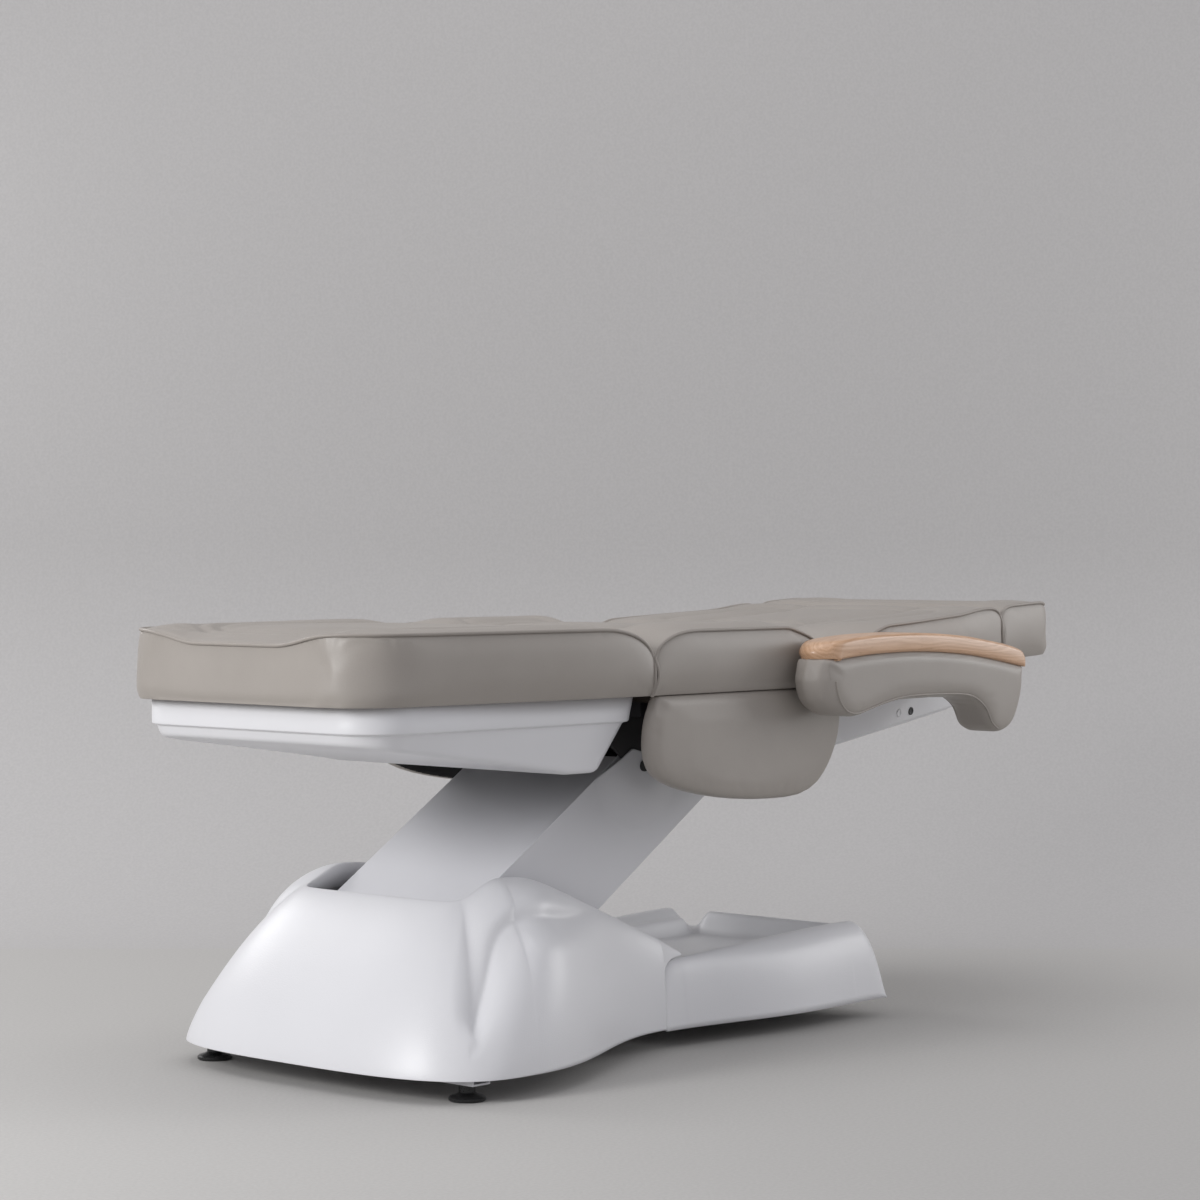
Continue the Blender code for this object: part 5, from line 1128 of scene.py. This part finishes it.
def within(points, ring):
    a, b = ring, np.roll(ring, -1, axis=0)
    x, y = points[:, :1], points[:, 1:]
    rise = np.where(b[:, 1] == a[:, 1], 1.0, b[:, 1] - a[:, 1])
    crossed = ((a[:, 1] > y) != (b[:, 1] > y)) & (x < a[:, 0] + (y - a[:, 1]) * (b[:, 0] - a[:, 0]) / rise)
    return crossed.sum(1) % 2 == 1


unrolled = np.stack(np.meshgrid(ways, up_wall * VALLEY_TALL, indexing="ij"), 2).reshape(-1, 2)
ahead, off = away_from(unrolled, crease), away_from(unrolled, deepest)
high = ease((unrolled[:, 0] - 0.72) / 0.28)
panel_side = within(unrolled, np.concatenate([crease, deepest[-2:0:-1]]))
flank_side = within(unrolled, np.concatenate([deepest, [(2.1, VALLEY_TALL), (2.1, -0.1), (0.682, -0.1)]]))
press = panel_side * (ahead / np.maximum(ahead + off, 1e-6)) ** blend(1.6, 8.0, high)
press += flank_side * ~panel_side * (1 - ease(off / blend(0.085, 0.27, high)))
press *= ease(np.linalg.norm(unrolled - crease[0], axis=1) / 0.15) * ease((1.6 - unrolled[:, 0]) / 0.40)
press = (press * blend(VALLEY_POCKET, VALLEY_LEDGE, high)).reshape(cover.shape[:2])
for _ in range(2):
    press[1:-1] = (press[:-2] + 2 * press[1:-1] + press[2:]) / 4
    press[:, 1:-1] = (press[:, :-2] + 2 * press[:, 1:-1] + press[:, 2:]) / 4
press[:, -1] = press[:, 0] = 0.0
inward = np.cross(np.gradient(cover, axis=0), np.gradient(cover, axis=1))
inward /= np.maximum(np.linalg.norm(inward, axis=2, keepdims=True), 1e-9)
cover = cover + inward * press[..., None]
print(f"valley {1000 * press.max():.1f} mm deep")

# %% [markdown]
# The rim is turned in to a lip. Behind the join the flanks run on as two tongues that lie on the tail's
# ridges, so the cover is three grids that share their points at the join. They are merged, turned
# outward and given a wall on the inner side.

# %% Lip, tongues and shell
RIDGE_HALF, RIDGE_START_Z, RIDGE_END_Z, RIDGE_END = 0.204, 0.152, 0.177, 1.325
TONGUE_END, TONGUE_FROM_Z = 0.893, 0.122


def ridge_height(s):
    along = np.clip((s - JOIN_X) / (RIDGE_END - JOIN_X), 0, 1)
    return blend(RIDGE_START_Z, RIDGE_END_Z, 1 - (1 - along) ** 1.3) - roll(s, JOIN_X, 0.05, 0.027)


def with_lip(columns, drop):
    """Add the turned-in lip at the upper end of columns."""
    rim = columns[:, -1]
    inward = np.array([RIM_SIDE_X + 0.1, 0.0, 0.0]) - rim * [1, 1, 0]
    inward *= SHELL_T / np.linalg.norm(inward, axis=1, keepdims=True)
    down = np.array([0.0, 0.0, -1.0])
    turn = np.minimum(0.005, drop / 2)
    lip = [rim + inward * part + down * deep[:, None]
           for part, deep in ((0.3, turn * 0.08), (0.7, turn * 0.4), (1.0, turn), (1.0, drop))]
    return np.concatenate([columns, np.stack(lip, 1)], 1)


cover = with_lip(cover, blend(0.018, 0.040, ease((cover[:, -1, 0] - RIM_X) / (RIM_SIDE_X - RIM_X))))
kept = int(np.argmax(cover[-1, :, 2] > TONGUE_FROM_Z))
first = cover[-1, kept]
tongue = []
for s in np.linspace(JOIN_X, TONGUE_END, 24)[1:]:
    part = (s - JOIN_X) / (TONGUE_END - JOIN_X)
    low_y, low_z = blend(first[1], RIDGE_HALF - 0.014, part ** 0.6), ridge_height(s) + 0.0015
    rim_y, rim_z = blend(RIM_JOIN_HALF, RIM_HALF - 0.003, part), crest(s)
    a = np.linspace(0.0, pi / 2, LEVELS - kept)
    tongue.append(np.stack([np.full(len(a), s), blend(low_y, rim_y, 1 - np.cos(a)),
                            blend(low_z, rim_z, np.sin(a))], 1))
tongue = np.array(tongue)
room = tongue[:, -1, 2] - tongue[:, 0, 2]
tongue = np.concatenate([cover[-1:, kept:], with_lip(tongue, np.clip(room, 0.002, 0.040))])


def shell_from(name, grids, wall):
    """A moulded shell: grids of points, merged and turned outward, with a wall on the inner side."""
    verts, faces = [], []
    for rows in grids:
        count, deep = rows.shape[:2]
        corners = [len(verts) + i * deep + j for i in range(count - 1) for j in range(deep - 1)]
        faces += [(k, k + deep, k + deep + 1, k + 1) for k in corners]
        verts += list(rows.reshape(-1, 3) - [BED_LENGTH / 2, 0, 0])
    ob = new_object(name, verts, faces)
    tidy_normals(ob, outward=True)
    skin = ob.modifiers.new("wall", "SOLIDIFY")
    skin.thickness = wall
    skin.offset = -1
    return settle(ob)


across_y = np.array([1, -1, 1])
whole = np.concatenate([cover[:0:-1] * across_y, cover])
front = shell_from("front_cover_moulding", [whole, tongue, tongue * across_y], SHELL_T)
dress(front, SHELL, "base", "white_shell", "front_cover")

# %% [markdown]
# Behind the arm the tail cover is a long tray between two ridges. It is drawn as cross sections too: the
# flank rises to a rounded ridge, falls past a small ledge into the trough and runs flat to the middle.
# At the rear the floor climbs to a low wall, and the far corner is notched between ridge and wall.

# %% Tail cover of the base
TAIL_END, TAIL_HALF, TAIL_WIDEN, TAIL_FALL, TROUGH_Z = 1.412, 0.264, 0.36, 0.040, 0.126
REAR_WALL, REAR_WALL_X, NOTCH_Z = 0.049, 1.345, 0.138
INNER_WALL = [(0.197, 1.0), (0.188, 0.92), (0.176, 0.68), (0.168, 0.64), (0.160, 0.37), (0.150, 0.06),
              (0.140, 0.0)]


def tail_half(s, notched):
    """Half a cross section, from the hem over the ridge to the middle."""
    low = HEM_Z - 0.003
    hem = blend(JOIN_HALF, TAIL_HALF, ease((s - JOIN_X) / TAIL_WIDEN))
    hem -= 0.008 * ease((s - JOIN_X - TAIL_WIDEN) / (TAIL_END - JOIN_X - TAIL_WIDEN))
    top = ridge_height(s)
    if notched:
        top = blend(top, NOTCH_Z, ease((s - RIDGE_END + 0.012) / 0.032))
    wall = REAR_WALL * ease((s - REAR_WALL_X) / 0.036)
    ridge = blend(JOIN_HALF - 0.024, RIDGE_HALF, ease((s - JOIN_X) / 0.20))
    side = [(hem, low)] + [(blend(hem, ridge, into), blend(low, top, up))
                           for into, up in ((0.16, 0.46), (0.38, 0.77), (0.68, 0.93), (0.94, 0.99))]
    for y, part in INNER_WALL:
        end = ease((0.195 - y) / 0.050) if notched else 1.0
        side.append((min(y, ridge - 0.004) if part == 1.0 else y,
                     max(TROUGH_Z + part * (top - TROUGH_Z), TROUGH_Z + wall * end)))
    side += [(0.07, TROUGH_Z + wall), (0.0, TROUGH_Z + wall)]
    curve = spline(side, 6)
    fall = np.clip((s - TAIL_END) / TAIL_FALL + 1, 0, 1)
    z = blend(low, curve[:, 1], np.sqrt(1 - fall * fall))
    return np.stack([np.full(len(curve), s), curve[:, 0], z], 1)


tail_steps = [JOIN_X + 0.0003, *np.linspace(0.818, 0.870, 18), *np.linspace(0.88, 1.31, 44),
              *np.linspace(1.314, TAIL_END - TAIL_FALL, 30),
              *reversed(round_steps(TAIL_END, TAIL_END - TAIL_FALL, 16)[:-1])]
tail_rows = np.array([np.concatenate([tail_half(s, True), tail_half(s, False)[-2::-1] * across_y])
                      for s in tail_steps])
for _ in range(8):
    tail_rows[1:-1, 1:-1, 1:] = (tail_rows[:-2, 1:-1, 1:] + tail_rows[2:, 1:-1, 1:] + tail_rows[1:-1, :-2, 1:]
                                 + tail_rows[1:-1, 2:, 1:]) / 4
tail = shell_from("tail_cover_moulding", [tail_rows], SHELL_T)
dress(tail, SHELL, "base", "white_shell", "tail_cover")

# %% [markdown]
# Under the leg rest hangs a moulded pan. Its plan is a path: across the foot, round the corner and along
# the side to the slanted open end. At each place a profile runs from the rim down over a small step to
# the bottom, with its corners rounded. The bottom is a second grid that shares its edge with the walls.

# %% Pan under the leg rest
PAN_START, PAN_R, PAN_RIM = 0.036, 0.085, DECK_Z - 0.0003
PAN_FOOT_HALF, PAN_HINGE_HALF, PAN_HINGE_X = 0.288, 0.303, 0.634
PAN_STEP, PAN_STEP_Z = 0.008, 0.586
PAN_FOOT_Z, PAN_DEEP_Z, PAN_DEEP_X = 0.566, 0.503, 0.567
PAN_T = 0.003
open_end = np.array([(0.503, 0.548), (0.5045, 0.5555), (0.510, 0.5625), (0.5489, 0.590), (0.580, 0.612),
                     (0.5855, 0.6165), (0.5875, 0.6205), (0.593, 0.6255), (0.600, 0.6285), (0.613, 0.632),
                     (0.6297, 0.634)])


def rounded(points, radii, steps=6):
    """A chain of points with its inner corners turned into short curves."""
    p = [np.array(q, float) for q in points]
    found = [p[0]]
    for a, b, c, r in zip(p, p[1:], p[2:], radii):
        u, v = a - b, c - b
        start = b + u * min(r / np.linalg.norm(u), 0.48)
        end = b + v * min(r / np.linalg.norm(v), 0.48)
        found += [(1 - t) ** 2 * start + 2 * t * (1 - t) * b + t * t * end for t in np.linspace(0, 1, steps)]
    return np.array(found + [p[-1]])


def pan_column(s, y, inward, part):
    """Profile at a place on the plan; part is the share of the way along the side, 0 elsewhere."""
    low = max(blend(PAN_FOOT_Z, PAN_DEEP_Z, (s - PAN_START) / (PAN_DEEP_X - PAN_START)), PAN_DEEP_Z)
    edge = rounded([(0, PAN_RIM), (0, PAN_STEP_Z + 0.0015), (PAN_STEP, PAN_STEP_Z), (PAN_STEP + 0.009, low),
                    (PAN_STEP + 0.036, low)], (0.0028, 0.0028, 0.010))
    side_start = PAN_START + PAN_R
    along = np.array([blend(side_start, np.interp(z, *open_end.T), part) if part else s for z in edge[:, 1]])
    return np.stack([along + inward[0] * edge[:, 0], y + inward[1] * edge[:, 0], edge[:, 1]], 1)


def pan_half(s):
    return blend(PAN_FOOT_HALF, PAN_HINGE_HALF, (s - PAN_START) / (PAN_HINGE_X - PAN_START))


columns = [pan_column(PAN_START, y, (1, 0), 0) for y in np.linspace(0, PAN_FOOT_HALF - PAN_R, 20)]
foot_count = len(columns)
for a in np.linspace(0, pi / 2, 22)[1:]:
    s = PAN_START + PAN_R * (1 - cos(a))
    columns.append(pan_column(s, pan_half(s) - PAN_R * (1 - sin(a)), (cos(a), -sin(a)), 0))
for part in np.linspace(0, 1, 60)[1:]:
    s = blend(PAN_START + PAN_R, PAN_HINGE_X, part)
    columns.append(pan_column(s, pan_half(s), (0, -1), part))
columns = np.array(columns)
walls = np.concatenate([columns[:0:-1] * across_y, columns])
ends, middle = walls[:, -1], len(columns) - 1
bottom = [ends[middle - foot_count + 1:middle + foot_count]]
for k in range(foot_count, len(columns)):
    t = np.linspace(0, 1, 2 * foot_count - 1)[:, None]
    bottom.append(blend(ends[middle - k], ends[middle + k], t))
pan = shell_from("leg_pan_moulding", [walls, np.array(bottom)], PAN_T)
dress(pan, PAN, "leg", "white_shell", "leg_tray")

# %% [markdown]
# An armrest cap is a bar of wood, bent and planed. It is drawn as a ladder: rungs that join the underside
# to the top line, closing up to nothing at the nose and the tail. Each rung becomes a rounded rectangle
# across the bar, and the front end is bowed in plan.

# %% Armrest caps
ARM_IN, ARM_WIDTH = 0.3625, 0.083
CAP_TOP = [(-0.5195, 0.6852), (-0.5230, 0.6960), (-0.5150, 0.7090), (-0.4985, 0.7165), (-0.450, 0.7218),
           (-0.370, 0.7255), (-0.256, 0.7256), (-0.135, 0.7181), (-0.046, 0.7070), (0.010, 0.6980),
           (0.0510, 0.6880), (0.0635, 0.6780), (0.0665, 0.6680), (0.0615, 0.6592)]
FRONT_ROUND, CAP_R, CAP_BED, RUNGS = 0.014, 0.008, 0.003, 141


def closed_skin(name, rings):
    """Rings of equal length joined in a row and closed at both ends."""
    count = len(rings[0])
    last = count * (len(rings) - 1)
    faces = [(i + j, i + (j + 1) % count, i + count + (j + 1) % count, i + count + j)
             for i in range(0, last, count) for j in range(count)]
    ob = new_object(name, [p for ring in rings for p in ring],
                    [*faces, range(count), range(last, last + count)])
    tidy_normals(ob)
    return ob


def bow_front(x, y_share, z):
    """Shift of a point near the front end: bowed in plan, with its corners rounded off."""
    near = np.clip(1 - (x - ARM_CREST[0][0]) / 0.055, 0, 1)
    bow = blend(0.024, 0.026, ease((ARM_CREST[0][1] - z) / 0.030))
    t = np.clip((np.abs(y_share) * ARM_WIDTH / 2 - ARM_WIDTH / 2 + FRONT_ROUND) / FRONT_ROUND, 0, 1)
    return near * (FRONT_ROUND * (1 - np.sqrt(1 - t * t)) - bow * (1 - y_share ** 2))


def evenly(line, count):
    """The same line with evenly spaced points."""
    far = np.concatenate([[0], np.cumsum(np.linalg.norm(np.diff(line, axis=0), axis=1))])
    at_far = np.linspace(0, far[-1], count)
    return np.stack([np.interp(at_far, far, line[:, k]) for k in range(line.shape[1])], 1)


def rung(low, high):
    """A rounded rectangle across the bar, as places across and up it, and its height."""
    tall = np.linalg.norm(high - low)
    r = min(CAP_R, 0.46 * tall)
    wide = ARM_WIDTH / 2
    ring = []
    for y, z, a in ((wide - r, tall - r, 0), (r - wide, tall - r, 90), (r - wide, r, 180),
                    (wide - r, r, 270)):
        ring += [(y + r * cos(radians(a + d)), z + r * sin(radians(a + d))) for d in range(0, 91, 15)]
        if a in (0, 180):
            ring += [(y * share, tall if a == 0 else 0.0) for share in (0.6, 0.2, -0.2, -0.6)]
    return np.array(ring), tall


def cap_mesh(name, side):
    top = evenly(spline(CAP_TOP, 10), RUNGS)
    low = evenly(spline([(x, z - CAP_BED) for x, z in ARM_CREST], 10), RUNGS)
    rings = []
    for b, t in zip(low, top):
        ring, tall = rung(b, t)
        up = (t - b) / max(tall, 1e-6)
        x, z = b[0] + up[0] * ring[:, 1], b[1] + up[1] * ring[:, 1]
        x = x + bow_front(x, ring[:, 0] / (ARM_WIDTH / 2), z)
        rings.append(np.stack([at(PIVOT_X) + x, side * (ARM_IN + ARM_WIDTH / 2 + ring[:, 0]), z], 1))
    return closed_skin(name, rings)


for side, tag in SIDES:
    dress(cap_mesh(f"armrest_{tag}_wood", side), WOOD, f"armrest_{tag}", "wood", f"armrest_cap_{tag}")

# %% [markdown]
# Two small trims finish the upper end of the lift arm. A white cheek swells out of each side round the
# shaft and hides the foot of the black carriage plate, and a black plate closes the front of the channel
# on each side of the tie link. That plate is painted shade: a dark sheet where the open channel between
# the leg pan and the arm lies in shadow. They turn with the arm, so they are drawn from its lower shaft.

# %% Trims of the lift arm
LIFT_X, LIFT_Z, ARM_ANGLE, ARM_LENGTH = 0.331, 0.199, radians(32.19), 0.560
ARM_SIDE, ARM_FRONT = 0.1628, 0.0425
CHEEK_OUT, CHEEK_T, CHEEK_R, CHEEK_FLAT_R = 0.0152, 0.0015, 0.120, 0.036
CHEEK_TOP, CHEEK_TOP_FACES = (0.7714, 0.5304), np.array([0.0096, 0.0356]) / 0.03687
SHADE_PLATE_BACK, SHADE_PLATE_SPAN = 0.0395, (0.032, 0.158)


def on_arm(along, above):
    return (LIFT_X + along * cos(ARM_ANGLE) - above * sin(ARM_ANGLE),
            LIFT_Z + along * sin(ARM_ANGLE) + above * cos(ARM_ANGLE))


def cheek_mesh(name, side):
    """A low dome round the shaft, cut off by the arm's front edge and by a line above the shaft."""
    shaft = np.array(on_arm(ARM_LENGTH, 0.0))
    cuts = [(np.array(on_arm(ARM_LENGTH, ARM_FRONT)), np.array([-sin(ARM_ANGLE), cos(ARM_ANGLE)])),
            (np.array(CHEEK_TOP), CHEEK_TOP_FACES)]
    spokes = []
    for a in np.linspace(0, 2 * pi, 72, False):
        way = np.array([cos(a), sin(a)])
        reach = [(q - shaft) @ n / (way @ n) for q, n in cuts if way @ n > 1e-6]
        spokes.append((way, min([CHEEK_R, *reach])))
    outer, inner = [], []
    for part in np.linspace(0.06, 1.0, 16):
        for rings, thick in ((outer, CHEEK_T), (inner, 0.0)):
            ring = []
            for way, far in spokes:
                out = 1 - ease((part * far - CHEEK_FLAT_R) / (CHEEK_R - CHEEK_FLAT_R))
                ring.append((at(shaft[0] + part * far * way[0]),
                             side * (ARM_SIDE + CHEEK_OUT * out + thick - 0.0017),
                             shaft[1] + part * far * way[1]))
            rings.append(ring)
    return closed_skin(name, outer + inner[::-1])


# Each black plate is painted shade, a dark sheet across the channel where only shadow shows.
SHADE_PLATE = [on_arm(0.523, SHADE_PLATE_BACK), on_arm(0.523, ARM_FRONT), on_arm(0.581, ARM_FRONT), on_arm(0.583, SHADE_PLATE_BACK)]
for side, tag in SIDES:
    dress(cheek_mesh(f"arm_cheek_{tag}", side), POWDER, "lift_arm", "white_steel")
    lip = closed_skin(f"arm_shade_plate_{tag}", [[(at(s), side * y, z) for s, z in SHADE_PLATE] for y in SHADE_PLATE_SPAN])
    dress(lip, FOOT_AND_SHADE_PLATE, "lift_arm", "rubber").data.shade_flat()

# %% [markdown]
# The under-cover of the back is held by screws in round recesses, two on each side beside the armrest. In
# front a white plug closes the recess, in the rear one the black screw shows.

# %% Screws of the back cover
SCREWS = (1.461, 0.5663, PAN, "plug", "white_shell"), (1.499, 0.5686, CASING, "screw", "black_steel")
SCREW_PROFILE = [(0.0075, -0.001), (0.0075, 0.0008), (0.0066, 0.0013), (0.0052, 0.0013), (0.0046, 0.0006),
                 (0.001, 0.0006)]


def turned(name, profile, place, axis):
    """A small turned part on an axis: radii and heights of its profile."""
    turn = Vector(axis).to_track_quat("Z", "Y")
    around = np.linspace(0, 2 * pi, 24, False)
    return closed_skin(name, [[turn @ Vector((r * cos(a), r * sin(a), h)) + place for a in around]
                              for r, h in profile])


panel_tree = skin_tree(nodes["back_cover"].data)
for side, tag in SIDES:
    for s, z, finish, label, slot in SCREWS:
        spot, normal, _, _ = panel_tree.ray_cast(Vector((at(s), side * 0.6, z)), Vector((0, -side, 0)))
        if normal.y * side < 0:
            normal = -normal
        dress(turned(f"back_cover_{label}_{tag}", SCREW_PROFILE, spot, normal), finish, "back", slot)

# %% [markdown]
# Turned and bent parts keep their CAD shape. A CAD node comes in as loose flat triangles, so a round one
# would show its facets: a welded copy with smooth shading up to a sharp angle stands in for it.

# %% Smooth copies of round parts
def smoothed(node, finish, body, slot, angle=35):
    ob = copy_of(node, f"{node}_turned")
    bm = bmesh.new()
    bm.from_mesh(ob.data)
    for e in bm.edges:
        e.smooth = len(e.link_faces) == 2 and e.calc_face_angle(0.0) < radians(angle)
    bm.to_mesh(ob.data)
    bm.free()
    return dress(ob, finish, body, slot, node)


round_parts = [
    (FOOT_AND_SHADE_PLATE, "rubber", {f"levelling_{tag}": tag for tag in ("foot_front_near", "foot_front_far",
                                                          "foot_rear_near", "foot_rear_far")}),
    (CASING, "motor", {"lift_motor": "base", "leg_motor": "seat", "back_motor": "back_motor"}),
    (ZINC, "zinc", {"lift_rod": "lift_rod", "leg_rod": "leg_rod", "back_rod": "back_rod",
                    "lift_shaft": "base", "leg_hinge_pin": "seat", "back_hinge_pin": "seat",
                    "headrest_hinge_pin": "back", "armrest_spigot_near": "back",
                    "armrest_spigot_far": "back"}),
    (BLACK, "black_steel", {"carriage_shaft": "seat", "lift_cross_tube": "lift_arm",
                            "lift_torque_tube": "lift_arm"}),
]
for finish, slot, bodies in round_parts:
    for node, body in bodies.items():
        smoothed(node, finish, body, slot)
smoothed("back_cover", PAN, "back", "white_shell", 28)

# %% [markdown]
